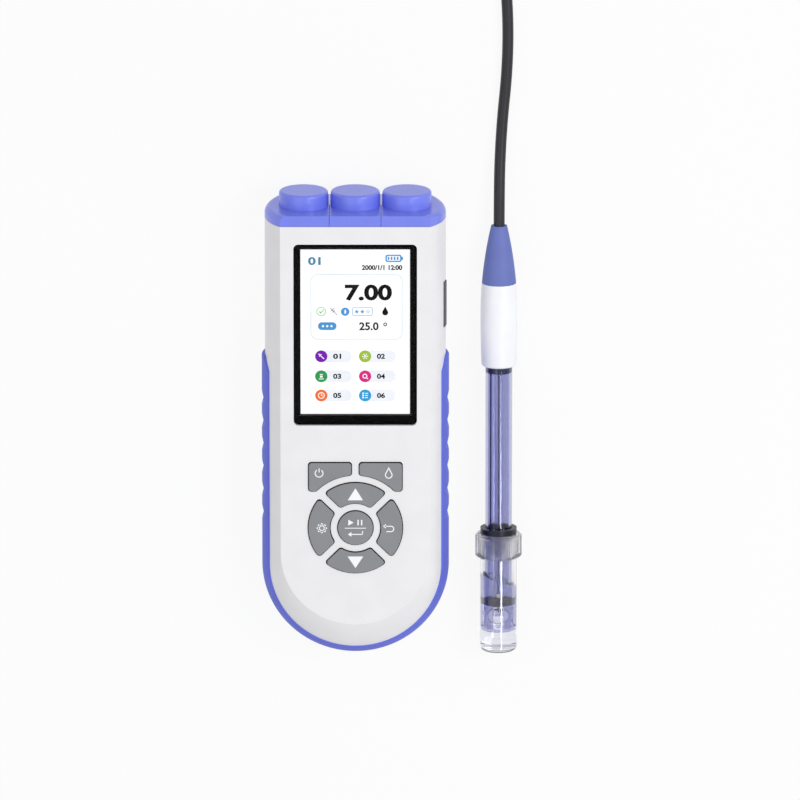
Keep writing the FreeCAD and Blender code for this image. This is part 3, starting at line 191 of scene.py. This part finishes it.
class Graph:
    """A material's node tree with one surface shader."""

    def __init__(self, name):
        self.material = bpy.data.materials.new(name)
        self.material.use_nodes = True
        self.tree = self.material.node_tree
        self.tree.nodes.clear()
        self.output = self.node("OutputMaterial")
        self.coordinates = self.node("TexCoord").outputs["Object"]

    def node(self, kind, **values):
        """Add a node and set its properties."""
        made = self.tree.nodes.new("ShaderNode" + kind)
        for name, value in values.items():
            setattr(made, name, value)
        return made

    def link(self, source, target):
        """Join an output to an input."""
        self.tree.links.new(source, target)

    def show(self, shader):
        """Put a shader's output on the surface."""
        self.link(shader, self.output.inputs["Surface"])

    def noise(self, size, detail=2.0):
        """Noise whose grains are about as large as size."""
        made = self.node("TexNoise")
        made.inputs["Scale"].default_value = 1 / size
        made.inputs["Detail"].default_value = detail
        self.link(self.coordinates, made.inputs["Vector"])
        return made.outputs["Fac"]

    def between(self, factor, low, high):
        """Colour that runs from low to high with a factor."""
        ramp = self.node("ValToRGB")
        ramp.color_ramp.elements[0].position = NOISE_LOW
        ramp.color_ramp.elements[1].position = NOISE_HIGH
        ramp.color_ramp.elements[0].color = low
        ramp.color_ramp.elements[1].color = high
        self.link(factor, ramp.inputs["Fac"])
        return ramp.outputs["Color"]

    def ranged(self, factor, low, high, start=NOISE_LOW, end=NOISE_HIGH):
        """Number that runs from low to high while a factor runs from start to end."""
        mapped = self.node("MapRange")
        mapped.inputs["From Min"].default_value = start
        mapped.inputs["From Max"].default_value = end
        mapped.inputs["To Min"].default_value = low
        mapped.inputs["To Max"].default_value = high
        self.link(factor, mapped.inputs["Value"])
        return mapped.outputs["Result"]

    def times(self, tone, factor):
        """Product of two colours."""
        mixed = self.node("Mix", data_type="RGBA", blend_type="MULTIPLY")
        mixed.inputs["Factor"].default_value = 1.0
        self.link(tone, mixed.inputs[6])
        self.link(factor, mixed.inputs[7])
        return mixed.outputs[2]

    def part(self, vector, axis):
        """One coordinate of a vector."""
        parts = self.node("SeparateXYZ")
        self.link(vector, parts.inputs["Vector"])
        return parts.outputs[axis]

    def along(self, start, end):
        """How far a place lies from one value of Y to another, from 0 to 1."""
        return self.ranged(self.part(self.coordinates, "Y"), 0, 1, start, end)

    def upward(self):
        """How far the surface faces up: 1 on a level top, 0 on an upright wall."""
        return self.part(self.node("TexCoord").outputs["Normal"], "Z")

    def math(self, operation, *values):
        """Sum, product or wave of values; a plain number goes onto its socket."""
        made = self.node("Math", operation=operation)
        for socket, value in zip(made.inputs, values):
            if isinstance(value, (int, float)):
                socket.default_value = value
            else:
                self.link(value, socket)
        return made.outputs["Value"]

    def mixed(self, factor, first, second):
        """Blend of two shaders, from the first to the second."""
        made = self.node("MixShader")
        for socket, value in zip(made.inputs, (factor, first, second)):
            self.link(value, socket)
        return made.outputs["Shader"]

    def bump(self, factor, depth):
        """Surface relief of a given depth."""
        made = self.node("Bump")
        made.inputs["Strength"].default_value = 1.0
        made.inputs["Distance"].default_value = depth
        self.link(factor, made.inputs["Height"])
        return made.outputs["Normal"]


def surface(name, colour, roughness, mottle=0.05, patch=12 * MM, grain=0.35 * MM, depth=0.004 * MM,
            painted_wall_shade=1.0, fade=None, **sockets):
    """
    Material with a slightly uneven colour, an uneven gloss and a fine grain.

    Below 1, the wall-shade factor paints shade onto upright walls, standing in for the shade in the gaps
    round a part.
    A fade holds a colour that multiplies the first one, and the two places along Y between which it comes
    in. Other sockets of the shader are set by name.
    """
    graph = Graph(name)
    shader = graph.node("BsdfPrincipled")
    broad = graph.noise(patch, 3.0)
    fine = graph.noise(grain)
    tone = graph.between(broad, shaded(colour, 1 - mottle), shaded(colour, 1 + mottle))
    # Painted shade: upright walls are darker than level tops, by how far the surface tilts
    if painted_wall_shade < 1:
        tone = graph.times(tone, graph.between(graph.upward(), shaded(WHITE, painted_wall_shade), WHITE))
    if fade:
        other, start, end = fade
        tone = graph.times(tone, graph.between(graph.along(start, end), WHITE, other))
    graph.link(tone, shader.inputs["Base Color"])
    graph.link(graph.ranged(fine, roughness * 0.85, roughness * 1.15), shader.inputs["Roughness"])
    graph.link(graph.bump(fine, depth), shader.inputs["Normal"])
    for socket, value in sockets.items():
        shader.inputs[socket.replace("_", " ")].default_value = value
    graph.show(shader.outputs["BSDF"])
    return graph.material


def moulded(name, colour, roughness=0.42, mottle=0.02):
    """Hard moulded plastic with a fine spark texture."""
    return surface(name, colour, roughness, mottle, depth=0.003 * MM, Specular_IOR_Level=0.45)


def rubber(name, colour, roughness=0.55, gloss=0.3, painted_wall_shade=1.0):
    """Soft rubber with a matt skin; a wall-shade factor below 1 paints shade onto its upright walls."""
    return surface(name, colour, roughness, 0.04, grain=0.25 * MM, depth=0.006 * MM, painted_wall_shade=painted_wall_shade,
                   Specular_IOR_Level=gloss)


def metal(name, colour, roughness=0.25):
    """Plated metal with a fine grain."""
    return surface(name, colour, roughness, 0.05, patch=3 * MM, grain=0.12 * MM, depth=0.002 * MM,
                   Metallic=1.0)


def clear(name, colour, roughness=0.03, ior=1.49, depth=0.002 * MM, fade=None):
    """Clear plastic, glass or liquid."""
    return surface(name, colour, roughness, 0.02, patch=6 * MM, grain=1.2 * MM, depth=depth, fade=fade,
                   Transmission_Weight=1.0, IOR=ior)


def thin_clear(name, ior, low, high):
    """Thin clear wall: light goes straight through, and the gloss of its outer face grows at a low angle."""
    graph = Graph(name)
    through = graph.node("BsdfTransparent")
    gloss = graph.node("BsdfGlossy")
    fine = graph.noise(0.8 * MM)
    graph.link(graph.ranged(fine, 0.04, 0.09), gloss.inputs["Roughness"])
    tint = graph.between(graph.noise(20 * MM), low, high)
    graph.link(tint, through.inputs["Color"])
    fresnel = graph.node("Fresnel")
    fresnel.inputs["IOR"].default_value = ior
    front = graph.math("SUBTRACT", 1.0, graph.node("NewGeometry").outputs["Backfacing"])
    share = graph.math("MULTIPLY", fresnel.outputs["Fac"], front)
    graph.show(graph.mixed(share, through.outputs["BSDF"], gloss.outputs["BSDF"]))
    return graph.material


def lit(name, colour, glow, mottle=0.01):
    """Part of the screen's picture, lit from behind."""
    return surface(name, colour, 0.5, mottle, patch=4 * MM, Specular_IOR_Level=0.08, Emission_Color=colour,
                   Emission_Strength=glow)


def circuit_board(name):
    """Board with solder mask over its tracks."""
    graph = Graph(name)
    shader = graph.node("BsdfPrincipled")
    tracks = graph.node("TexBrick")
    tracks.inputs["Color1"].default_value = linear(24, 92, 52)
    tracks.inputs["Color2"].default_value = linear(30, 104, 60)
    tracks.inputs["Mortar"].default_value = linear(52, 132, 78)
    tracks.inputs["Scale"].default_value = 1
    tracks.inputs["Mortar Size"].default_value = 0.2 * MM
    tracks.inputs["Brick Width"].default_value = 7 * MM
    tracks.inputs["Row Height"].default_value = 1.4 * MM
    graph.link(graph.coordinates, tracks.inputs["Vector"])
    graph.link(tracks.outputs["Color"], shader.inputs["Base Color"])
    graph.link(graph.ranged(graph.noise(0.5 * MM), 0.3, 0.42), shader.inputs["Roughness"])
    graph.link(graph.bump(tracks.outputs["Fac"], 0.01 * MM), shader.inputs["Normal"])
    graph.show(shader.outputs["BSDF"])
    return graph.material


def knurled(name, colour, dark, node):
    """Clear plastic whose skin carries crossed knurls round the electrode's axis, with painted shade in the
    knurls' grooves.
    """
    graph = Graph(name)
    shader = graph.node("BsdfPrincipled")
    place = graph.node("VectorMath", operation="SUBTRACT")
    graph.link(graph.coordinates, place.inputs[0])
    place.inputs[1].default_value = node.matrix_world.inverted() @ Vector(axis_point(NUT_Y))
    across, along, up = (graph.part(place.outputs["Vector"], axis) for axis in "XYZ")
    turn = graph.math("MULTIPLY", graph.math("ARCTAN2", across, up), KNURL_TURNS)
    step = graph.math("MULTIPLY", along, 2 * math.pi / KNURL_PITCH)
    waves = graph.math("MULTIPLY", graph.math("SINE", graph.math("ADD", turn, step)),
                       graph.math("SINE", graph.math("SUBTRACT", turn, step)))
    relief = graph.math("MULTIPLY_ADD", waves, 0.5, 0.5)
    # Painted shade: the colour falls to the darker one in the grooves between the knurls
    graph.link(graph.between(relief, dark, colour), shader.inputs["Base Color"])
    graph.link(graph.ranged(graph.noise(0.8 * MM), 0.02, 0.06), shader.inputs["Roughness"])
    graph.link(graph.bump(relief, KNURL_DEPTH), shader.inputs["Normal"])
    shader.inputs["Transmission Weight"].default_value = 1.0
    shader.inputs["IOR"].default_value = 1.45
    graph.show(shader.outputs["BSDF"])
    return graph.material


# The tube's violet ends between these two places along Y, at its guard
TINT_ENDS = (-0.0995, -0.0955)

# Middle of the nut along Y, and its knurls: how many go round, and their pitch and depth
NUT_Y = -0.0557
KNURL_TURNS = 30
KNURL_PITCH = 2.2 * MM
KNURL_DEPTH = 0.05 * MM

FINISHES = {
    "white_case": moulded("white_case_plastic", linear(238, 237, 240)),
    "blue_rubber": rubber("blue_cap_rubber", linear(120, 133, 240), 0.3, 0.6),
    "dark_seal": rubber("seal_rubber", linear(60, 60, 64)),
    "clear_window": thin_clear("window_plastic", 1.12, linear(252, 252, 253), linear(255, 255, 255)),
    "black_ink": surface("window_border_ink", linear(11, 11, 12), 0.6, 0.1, Specular_IOR_Level=0.05),
    "screen": lit("screen_white", linear(252, 253, 252), 0.13),
    "grey_rubber": rubber("side_cover_rubber", linear(88, 89, 95)),
    # The keys' upright walls carry painted shade, standing in for the shade in the gaps round them
    "grey_key": rubber("key_rubber", linear(140, 141, 145), 0.5, painted_wall_shade=0.12),
    "metal_plate": metal("plated_metal", linear(198, 198, 200)),
    "screw_steel": metal("screw_metal", linear(150, 150, 154), 0.3),
    "gold_contact": metal("gold_plating", linear(214, 176, 96), 0.2),
    "board_green": circuit_board("circuit_board"),
    "chip_black": moulded("chip_resin", linear(30, 30, 32), 0.5, 0.1),
    "dome_steel": metal("dome_metal", linear(190, 190, 192), 0.2),
    "cell_wrap": moulded("cell_sleeve", linear(60, 112, 178), 0.35, 0.06),
    "insulator": moulded("insulator_plastic", linear(232, 230, 222), 0.4, 0.04),
    "boot_rubber": rubber("boot_rubber", linear(106, 119, 187)),
    "handle_white": moulded("handle_plastic", linear(246, 247, 251), 0.35),
    "tube_clear": clear("violet_tube", linear(226, 227, 239), fade=(linear(217, 218, 239), *TINT_ENDS)),
    "ceramic": moulded("junction_ceramic", linear(226, 222, 210), 0.6, 0.05),
    "silver": metal("dull_silver", linear(84, 84, 96), 0.4),
    "plug_dark": rubber("dark_plug", linear(64, 64, 104)),
    "glass": clear("bulb_glass", linear(238, 239, 247), 0.01, 1.5),
    "black_rubber": rubber("gasket_rubber", linear(20, 21, 32), 0.35, 0.4),
    "bottle_clear": clear("bottle_plastic", linear(247, 247, 250), 0.02, 1.5),
    "cable_black": surface("cable_jacket", linear(40, 40, 45), 0.45, 0.08, patch=5 * MM, grain=0.3 * MM,
                           depth=0.005 * MM, Specular_IOR_Level=0.4),
    "tie_black": rubber("tie_fabric", linear(30, 30, 33), 0.8),
    "plug_rubber": rubber("plug_boot_rubber", linear(36, 36, 40)),
    "plug_metal": metal("plug_plating", linear(188, 188, 190)),
}
GRIP_RUBBER = rubber("blue_grip_rubber", linear(104, 116, 222), 0.5, 0.12)
# The nut's second colour is painted shade for the grooves of its knurls
NUT_PLASTIC = knurled("nut_plastic", linear(250, 250, 252), linear(178, 178, 184),
                      frame["nodes"]["bottle_nut"])


def dress_nodes():
    """Give every CAD node its finish, by its slot or by its own name."""
    for name, node in frame["nodes"].items():
        slots = [slot.material.name.split(".")[0] for slot in node.material_slots if slot.material]
        finish = FINISHES[slots[0]]
        if name == "grip_band":
            finish = GRIP_RUBBER
        if name == "bottle_nut":
            finish = NUT_PLASTIC
        for slot in node.material_slots:
            slot.material = finish


dress_nodes()
lead.data.materials.append(FINISHES["cable_black"])


# Outlines of flat printed shapes, as lists of points


def circle(x, y, radius, count=40):
    """Round outline."""
    turns = [2 * math.pi * step / count for step in range(count)]
    return [(x + radius * math.cos(turn), y + radius * math.sin(turn)) for turn in turns]


def rounded_box(x, y, width, height, corner, count=8):
    """Rectangle with round corners, about its centre."""
    points = []
    for quarter, (side, level) in enumerate(((1, 1), (-1, 1), (-1, -1), (1, -1))):
        for step in range(count + 1):
            angle = math.pi / 2 * (quarter + step / count)
            points.append((x + side * (width / 2 - corner) + corner * math.cos(angle),
                           y + level * (height / 2 - corner) + corner * math.sin(angle)))
    return points


def stroke(x0, y0, x1, y1, width):
    """Straight line with a width."""
    length = math.hypot(x1 - x0, y1 - y0)
    across, along = (y0 - y1) / length * width / 2, (x1 - x0) / length * width / 2
    return [(x0 - across, y0 - along), (x1 - across, y1 - along),
            (x1 + across, y1 + along), (x0 + across, y0 + along)]


def bow(x, y, radius, width, start, end, count=24):
    """Stretch of a ring between two angles in degrees."""
    angles = [math.radians(start + (end - start) * step / count) for step in range(count + 1)]
    inner, outer = radius - width / 2, radius + width / 2
    far = [(x + outer * math.cos(angle), y + outer * math.sin(angle)) for angle in angles]
    near = [(x + inner * math.cos(angle), y + inner * math.sin(angle)) for angle in angles]
    return far + near[::-1]


def star(x, y, radius, tips=5, depth=0.42):
    """Star with straight tips."""
    points = []
    for step in range(2 * tips):
        reach = radius if step % 2 == 0 else radius * depth
        angle = math.pi / 2 + math.pi * step / tips
        points.append((x + reach * math.cos(angle), y + reach * math.sin(angle)))
    return points


def drop(x, y, radius, count=24):
    """Drop of liquid, pointed at its top."""
    points = [(x, y + 2.2 * radius)]
    for step in range(count + 1):
        angle = math.radians(155 + 230 * step / count)
        points.append((x + radius * math.cos(angle), y + radius * math.sin(angle)))
    return points


def print_piece(name, solid, rings, x, y, z, thickness, finish, body):
    """Thin printed piece: solid outlines and rings, in millimetres about a place on a surface."""
    mesh = bmesh.new()
    for outline in solid:
        mesh.faces.new([mesh.verts.new((px * MM, py * MM, 0)) for px, py in outline])
    for outer, inner in rings:
        far = [mesh.verts.new((px * MM, py * MM, 0)) for px, py in outer]
        near = [mesh.verts.new((px * MM, py * MM, 0)) for px, py in inner]
        for step in range(len(far)):
            following = (step + 1) % len(far)
            mesh.faces.new([far[step], far[following], near[following], near[step]])
    return raise_print(name, mesh, x, y, z, thickness, finish, body)


def raise_print(name, mesh, x, y, z, thickness, finish, body):
    """Turn flat faces into a thin closed piece and fix it to a body."""
    bmesh.ops.recalc_face_normals(mesh, faces=mesh.faces)
    for face in mesh.faces:
        if face.normal.z < 0:
            face.normal_flip()
    grown = bmesh.ops.extrude_face_region(mesh, geom=mesh.faces[:])
    lifted = [item for item in grown["geom"] if isinstance(item, bmesh.types.BMVert)]
    bmesh.ops.translate(mesh, verts=lifted, vec=(0, 0, thickness))
    bmesh.ops.recalc_face_normals(mesh, faces=mesh.faces)
    data = bpy.data.meshes.new(name)
    mesh.to_mesh(data)
    mesh.free()
    data.materials.append(finish)
    piece = link(bpy.data.objects.new(name, data))
    piece.location = (x, y, z)
    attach(piece, body)
    return piece


panel_low, panel_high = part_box("lcd_panel")
SCREEN_X = (panel_low.x + panel_high.x) / 2
SCREEN_Y = (panel_low.y + panel_high.y) / 2
SCREEN_Z = panel_high.z
SHEET = 0.02 * MM
SHEET_GAP = 0.2 * SHEET
INKS = {
    "black": lit("screen_black", linear(18, 18, 20), 0.0, 0.1),
    "teal": lit("screen_teal", linear(72, 140, 176), 0.1),
    "sky": lit("screen_sky", linear(76, 150, 208), 0.1),
    "pale": lit("screen_pale", linear(237, 240, 245), 0.1),
    "edge": lit("screen_edge", linear(226, 236, 240), 0.08),
    "mint": lit("screen_mint", linear(150, 212, 150), 0.15),
    "grey": lit("screen_grey", linear(150, 158, 166), 0.1),
    "white": lit("screen_print_white", linear(252, 253, 252), 0.13),
    "purple": lit("screen_purple", linear(122, 30, 176), 0.1),
    "lime": lit("screen_lime", linear(158, 190, 62), 0.1),
    "green": lit("screen_green", linear(52, 150, 84), 0.1),
    "magenta": lit("screen_magenta", linear(214, 44, 130), 0.1),
    "orange": lit("screen_orange", linear(238, 112, 48), 0.1),
    "blue": lit("screen_blue", linear(44, 158, 214), 0.1),
}


def layer(level):
    """Height of a printed layer on the screen panel; each one lies on the one below."""
    return SCREEN_Z + SHEET_GAP + level * SHEET


def on_screen(name, ink, solid=(), rings=(), level=0):
    """Shapes on the screen panel, in millimetres from its centre."""
    return print_piece(name, solid, rings, SCREEN_X, SCREEN_Y, layer(level), SHEET, INKS[ink], "meter")


def screen_number(name, ink, text, left, bottom, width, height, weight=0.0, level=1):
    """Plain number on the screen panel, fitted to a width and a height in millimetres."""
    curve = bpy.data.curves.new(name, "FONT")
    curve.body = text
    curve.offset = weight
    curve.resolution_u = 4
    drawn = link(bpy.data.objects.new(name + "_outline", curve))
    bpy.context.view_layer.update()
    data = bpy.data.meshes.new_from_object(drawn.evaluated_get(bpy.context.evaluated_depsgraph_get()))
    bpy.data.objects.remove(drawn)
    mesh = bmesh.new()
    mesh.from_mesh(data)
    bpy.data.meshes.remove(data)
    xs = [vertex.co.x for vertex in mesh.verts]
    ys = [vertex.co.y for vertex in mesh.verts]
    for vertex in mesh.verts:
        vertex.co.x = (left + (vertex.co.x - min(xs)) / (max(xs) - min(xs)) * width) * MM
        vertex.co.y = (bottom + (vertex.co.y - min(ys)) / (max(ys) - min(ys)) * height) * MM
        vertex.co.z = 0
    bmesh.ops.remove_doubles(mesh, verts=mesh.verts, dist=1e-7)
    return raise_print(name, mesh, SCREEN_X, SCREEN_Y, layer(level), SHEET, INKS[ink], "meter")


def status_line():
    """Channel number, battery sign and clock at the top of the screen."""
    screen_number("screen_channel", "teal", "01", -21.0, 30.9, 5.6, 3.7, 0.03)
    on_screen("screen_battery", "sky",
              [rounded_box(21.0, 34.0, 0.7, 1.5, 0.3)]
              + [rounded_box(14.9 + 1.35 * bar, 34.0, 0.75, 1.5, 0.1) for bar in range(4)],
              [(rounded_box(17.1, 34.0, 7.2, 3.4, 0.9), rounded_box(17.1, 34.0, 5.9, 2.2, 0.5))])
    screen_number("screen_clock", "black", "2000/1/1 12:00", 3.0, 28.6, 18.0, 2.3, 0.035)


def reading_card():
    """Card with the reading, its status signs and the temperature."""
    on_screen("screen_card", "edge", (),
              [(rounded_box(0.6, 11.5, 41.2, 30.6, 3.4), rounded_box(0.6, 11.5, 40.3, 29.7, 3.0))])
    screen_number("screen_reading", "black", "7.00", -4.6, 14.4, 21.0, 7.5, 0.035)
    on_screen("screen_unit", "black", [drop(13.4, 8.9, 1.3)], (), 1)
    on_screen("screen_ready", "mint",
              [stroke(-16.1, 9.5, -15.4, 8.6, 0.5), stroke(-15.5, 8.6, -14.1, 10.3, 0.5)],
              [(circle(-15.2, 9.4, 2.15), circle(-15.2, 9.4, 1.75))])
    on_screen("screen_pin", "grey",
              [stroke(-11.2, 11.1, -8.1, 7.8, 0.35), stroke(-10.9, 9.5, -9.3, 11.0, 0.35),
               stroke(-10.1, 8.9, -9.0, 9.9, 0.35)])
    on_screen("screen_disc", "sky", [circle(-4.5, 9.3, 1.9)])
    screen_number("screen_disc_number", "white", "1", -4.9, 8.4, 0.8, 1.8, 0.02, 2)
    outer, inner = rounded_box(3.2, 9.4, 9.1, 4.0, 0.9), rounded_box(3.2, 9.4, 8.7, 3.6, 0.7)
    on_screen("screen_rating_frame", "sky", (), [(outer, inner)])
    on_screen("screen_rating", "sky", [star(0.7, 9.3, 1.1), star(3.2, 9.3, 1.1)],
              [(star(5.7, 9.3, 1.1), star(5.7, 9.3, 0.75))])
    on_screen("screen_pill", "sky", [rounded_box(-12.5, 2.6, 8.2, 3.6, 1.7)])
    dots = [circle(-12.5 + 1.9 * dot, 2.6, 0.5) for dot in (-1, 0, 1)]
    on_screen("screen_pill_dots", "white", dots, (), 1)
    screen_number("screen_temperature", "black", "25.0", 1.8, 0.7, 8.6, 3.7, 0.025)
    on_screen("screen_degree", "black", (), [(circle(13.4, 3.4, 0.85), circle(13.4, 3.4, 0.45))])


MENU_ROWS = (-11.4, -20.7, -29.6)
MENU_COLUMNS = (-15.2, 4.4)
MENU_INKS = (("purple", "lime"), ("green", "magenta"), ("orange", "blue"))


def menu_sign(number, x, y):
    """White sign inside a round menu button."""
    signs = [
        ([stroke(x - 1.2, y + 1.2, x + 1.2, y - 1.2, 0.4), stroke(x - 0.9, y, x, y + 1.0, 0.4)], []),
        ([circle(x + 1.1 * math.cos(a), y + 1.1 * math.sin(a), 0.28, 12)
          for a in [math.pi / 3 * step for step in range(6)]], [(circle(x, y, 0.55), circle(x, y, 0.2))]),
        ([stroke(x - 1.1, y - 1.2, x + 1.1, y - 1.2, 0.35), stroke(x - 0.7, y + 0.9, x + 0.7, y + 0.9, 0.35),
          rounded_box(x, y - 0.1, 1.2, 0.9, 0.2)], []),
        ([stroke(x + 0.5, y - 0.5, x + 1.3, y - 1.3, 0.4)],
         [(circle(x - 0.1, y + 0.1, 1.1), circle(x - 0.1, y + 0.1, 0.7))]),
        ([stroke(x, y, x, y + 0.9, 0.35), stroke(x, y, x + 0.7, y - 0.3, 0.35)],
         [(circle(x, y, 1.5), circle(x, y, 1.15))]),
        ([circle(x - 0.9, y + dy, 0.4, 16) for dy in (-1.0, 0, 1.0)]
         + [stroke(x - 0.1, y + dy, x + 1.3, y + dy, 0.35) for dy in (-1.0, 0, 1.0)], []),
    ]
    return signs[number]


def menu():
    """Six round buttons, each with a pale label that holds a number."""
    number = 0
    for row, y in enumerate(MENU_ROWS):
        for column, x in enumerate(MENU_COLUMNS):
            on_screen(f"menu_label_{number}", "pale", [rounded_box(x + 6.7, y, 13.8, 5.6, 2.6)])
            on_screen(f"menu_button_{number}", MENU_INKS[row][column], [circle(x, y, 2.74)], (), 1)
            solid, rings = menu_sign(number, x, y)
            on_screen(f"menu_sign_{number}", "white", solid, rings, 2)
            screen_number(f"menu_number_{number}", "black", f"0{number + 1}", x + 5.3, y - 1.2, 3.6, 2.4,
                          0.035)
            number += 1


status_line()
reading_card()
menu()

LEGEND_INK = surface("key_legend_ink", linear(250, 250, 252), 0.45, 0.01, patch=3 * MM)
LEGEND_THICKNESS = 0.03 * MM


def legend(key, solid=(), rings=()):
    """White print on a key's top, in millimetres from the centre of the key's own box."""
    low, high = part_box(key)
    return print_piece(key + "_legend", solid, rings, (low.x + high.x) / 2, (low.y + high.y) / 2, high.z,
                       LEGEND_THICKNESS, LEGEND_INK, key)


def legends():
    """Plain signs on the keys."""
    legend("power_key", [stroke(-4.9, 2.3, -4.9, 4.2, 0.45), bow(-4.9, 1.9, 1.75, 0.45, 125, 415)])
    legend("calibrate_key", (), [(drop(3.6, 1.1, 1.7), drop(3.6, 1.1, 1.25))])
    gear = [stroke(1.3 * math.cos(a), 1.3 * math.sin(a), 2.3 * math.cos(a), 2.3 * math.sin(a), 0.8)
            for a in [math.pi / 4 * step for step in range(8)]]
    legend("left_key", gear, [(circle(0, 0, 1.7), circle(0, 0, 0.9))])
    legend("right_key", [stroke(-2.0, 0.9, 0.9, 0.9, 0.45), bow(0.9, -0.35, 1.25, 0.45, -90, 90),
                         stroke(0.9, -1.6, -1.2, -1.6, 0.45),
                         [(-2.7, 0.9), (-1.4, 2.0), (-1.4, -0.2)]])
    legend("up_key", [[(0, 3.6), (-3.4, -2.0), (3.4, -2.0)]])
    legend("down_key", [[(0, -3.6), (-3.5, 1.8), (3.5, 1.8)]])
    legend("enter_key", [stroke(-4.8, 0, 4.8, 0, 0.35), [(-3.2, 1.2), (-3.2, 4.0), (-0.8, 2.6)],
                         stroke(1.2, 1.3, 1.2, 3.9, 0.6), stroke(2.8, 1.3, 2.8, 3.9, 0.6),
                         stroke(3.2, -1.3, 3.2, -2.9, 0.45), stroke(3.4, -2.9, -1.8, -2.9, 0.45),
                         [(-3.4, -2.9), (-1.8, -1.8), (-1.8, -4.0)]])


legends()


# Edges that fold by more than this stay sharp
SHARP_FROM = math.radians(30)


def lathe(name, outline, finish, body, steps=64):
    """Piece turned about the electrode's axis; the outline holds (radius, place along the axis)."""
    mesh = bmesh.new()
    verts = [mesh.verts.new((radius, y, 0)) for radius, y in outline]
    edges = [mesh.edges.new(pair) for pair in zip(verts, verts[1:])]
    bmesh.ops.spin(mesh, geom=verts + edges, cent=(0, 0, 0), axis=(0, 1, 0), angle=2 * math.pi, steps=steps)
    bmesh.ops.remove_doubles(mesh, verts=mesh.verts, dist=1e-7)
    bmesh.ops.recalc_face_normals(mesh, faces=mesh.faces)
    for face in mesh.faces:
        face.smooth = True
    for edge in mesh.edges:
        edge.smooth = edge.calc_face_angle(math.pi) < SHARP_FROM
    data = bpy.data.meshes.new(name)
    mesh.to_mesh(data)
    mesh.free()
    data.materials.append(finish)
    piece = link(bpy.data.objects.new(name, data))
    piece.matrix_world = ALONG_AXIS
    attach(piece, body)
    return piece


# Soaking solution: its walls, its lower and upper end from the bottle's end, and how far its surface leans
BOTTLE_WALL = 0.9 * MM
SOLUTION_FLOOR = 1.5 * MM
SOLUTION_TOP = 33.6 * MM
SOLUTION_CORNER = 0.6 * MM
LEVEL_SLANT = 0.36


def solution():
    """Soaking solution in the bottle, which wets its wall and stands at a slant."""
    low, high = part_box("storage_bottle")
    radius = (high.x - low.x) / 2 - BOTTLE_WALL
    bottom, top = low.y + SOLUTION_FLOOR, low.y + SOLUTION_TOP
    outline = [(0, bottom), (radius - SOLUTION_CORNER, bottom), (radius, bottom + SOLUTION_CORNER),
               (radius, top), (0, top)]
    piece = lathe("soaking_solution", outline, clear("solution", linear(250, 250, 254), 0.0, 1.33, 0.0),
                  "storage_bottle")
    for vertex in piece.data.vertices:
        if vertex.co.y > (bottom + top) / 2:
            vertex.co.y -= LEVEL_SLANT * vertex.co.x


solution()


def white_where_seen(graph, shader, strength):
    """Add plain white to a shader where the camera, a reflection or a clear piece sees it."""
    rays = graph.node("LightPath").outputs
    mirrored = graph.math("MAXIMUM", rays["Is Camera Ray"], rays["Is Glossy Ray"])
    seen = graph.math("MAXIMUM", mirrored, rays["Is Transmission Ray"])
    white = graph.node("Emission")
    white.inputs["Strength"].default_value = 1.0
    share = graph.math("MULTIPLY", seen, strength)
    graph.show(graph.mixed(share, shader.outputs["BSDF"], white.outputs["Emission"]))


FLOOR_HALF = 3.0
FLOOR_WHITE_SHARE = 0.9
FLOOR_PATCH = 0.3
WORLD_LIGHT = 0.56
LAMP_TARGET = (0.02, 0.01, 0.02)


def floor():
    """Plain pale floor that keeps the object's shadow."""
    graph = Graph("floor_paper")
    paper = graph.node("BsdfDiffuse")
    tone = graph.between(graph.noise(FLOOR_PATCH), linear(230, 230, 231), linear(236, 236, 237))
    graph.link(tone, paper.inputs["Color"])
    white_where_seen(graph, paper, FLOOR_WHITE_SHARE)
    mesh = bmesh.new()
    corners = [(-1, -1), (1, -1), (1, 1), (-1, 1)]
    mesh.faces.new([mesh.verts.new((x * FLOOR_HALF, y * FLOOR_HALF, 0)) for x, y in corners])
    data = bpy.data.meshes.new("floor")
    mesh.to_mesh(data)
    mesh.free()
    data.materials.append(graph.material)
    made = link(bpy.data.objects.new("floor", data))


def lamp(name, place, size, power):
    """Soft square lamp that faces the object."""
    light = bpy.data.lights.new(name, "AREA")
    light.shape = "SQUARE"
    light.size = size
    light.energy = power
    made = link(bpy.data.objects.new(name, light))
    made.location = place
    made.rotation_euler = (Vector(LAMP_TARGET) - Vector(place)).to_track_quat("-Z", "Y").to_euler()


def world():
    """Even white surroundings."""
    made = bpy.data.worlds.new("surroundings")
    bpy.context.scene.world = made
    made.use_nodes = True
    tree = made.node_tree
    background = tree.nodes["Background"]
    path = tree.nodes.new("ShaderNodeLightPath")
    seen = tree.nodes.new("ShaderNodeMath")
    seen.operation = "MAXIMUM"
    tree.links.new(path.outputs["Is Camera Ray"], seen.inputs[0])
    tree.links.new(path.outputs["Is Transmission Ray"], seen.inputs[1])
    strength = tree.nodes.new("ShaderNodeMapRange")
    strength.inputs["To Min"].default_value = WORLD_LIGHT
    strength.inputs["To Max"].default_value = 1.0
    tree.links.new(seen.outputs["Value"], strength.inputs["Value"])
    tree.links.new(strength.outputs["Result"], background.inputs["Strength"])
    background.inputs["Color"].default_value = (1, 1, 1, 1)


def studio():
    """Floor, lamps and surroundings."""
    floor()
    lamp("key_lamp", (0.75, 0.30, 0.95), size=0.5, power=5.3)
    lamp("fill_lamp", (-0.55, 0.10, 1.10), size=0.8, power=2.2)
    lamp("streak_lamp", (0.40, -0.30, 0.95), size=0.14, power=0.8)
    world()
    scene = bpy.context.scene
    scene.view_settings.view_transform = "Standard"
    scene.cycles.max_bounces = 24
    scene.cycles.transmission_bounces = 24
    scene.cycles.transparent_max_bounces = 16


studio()
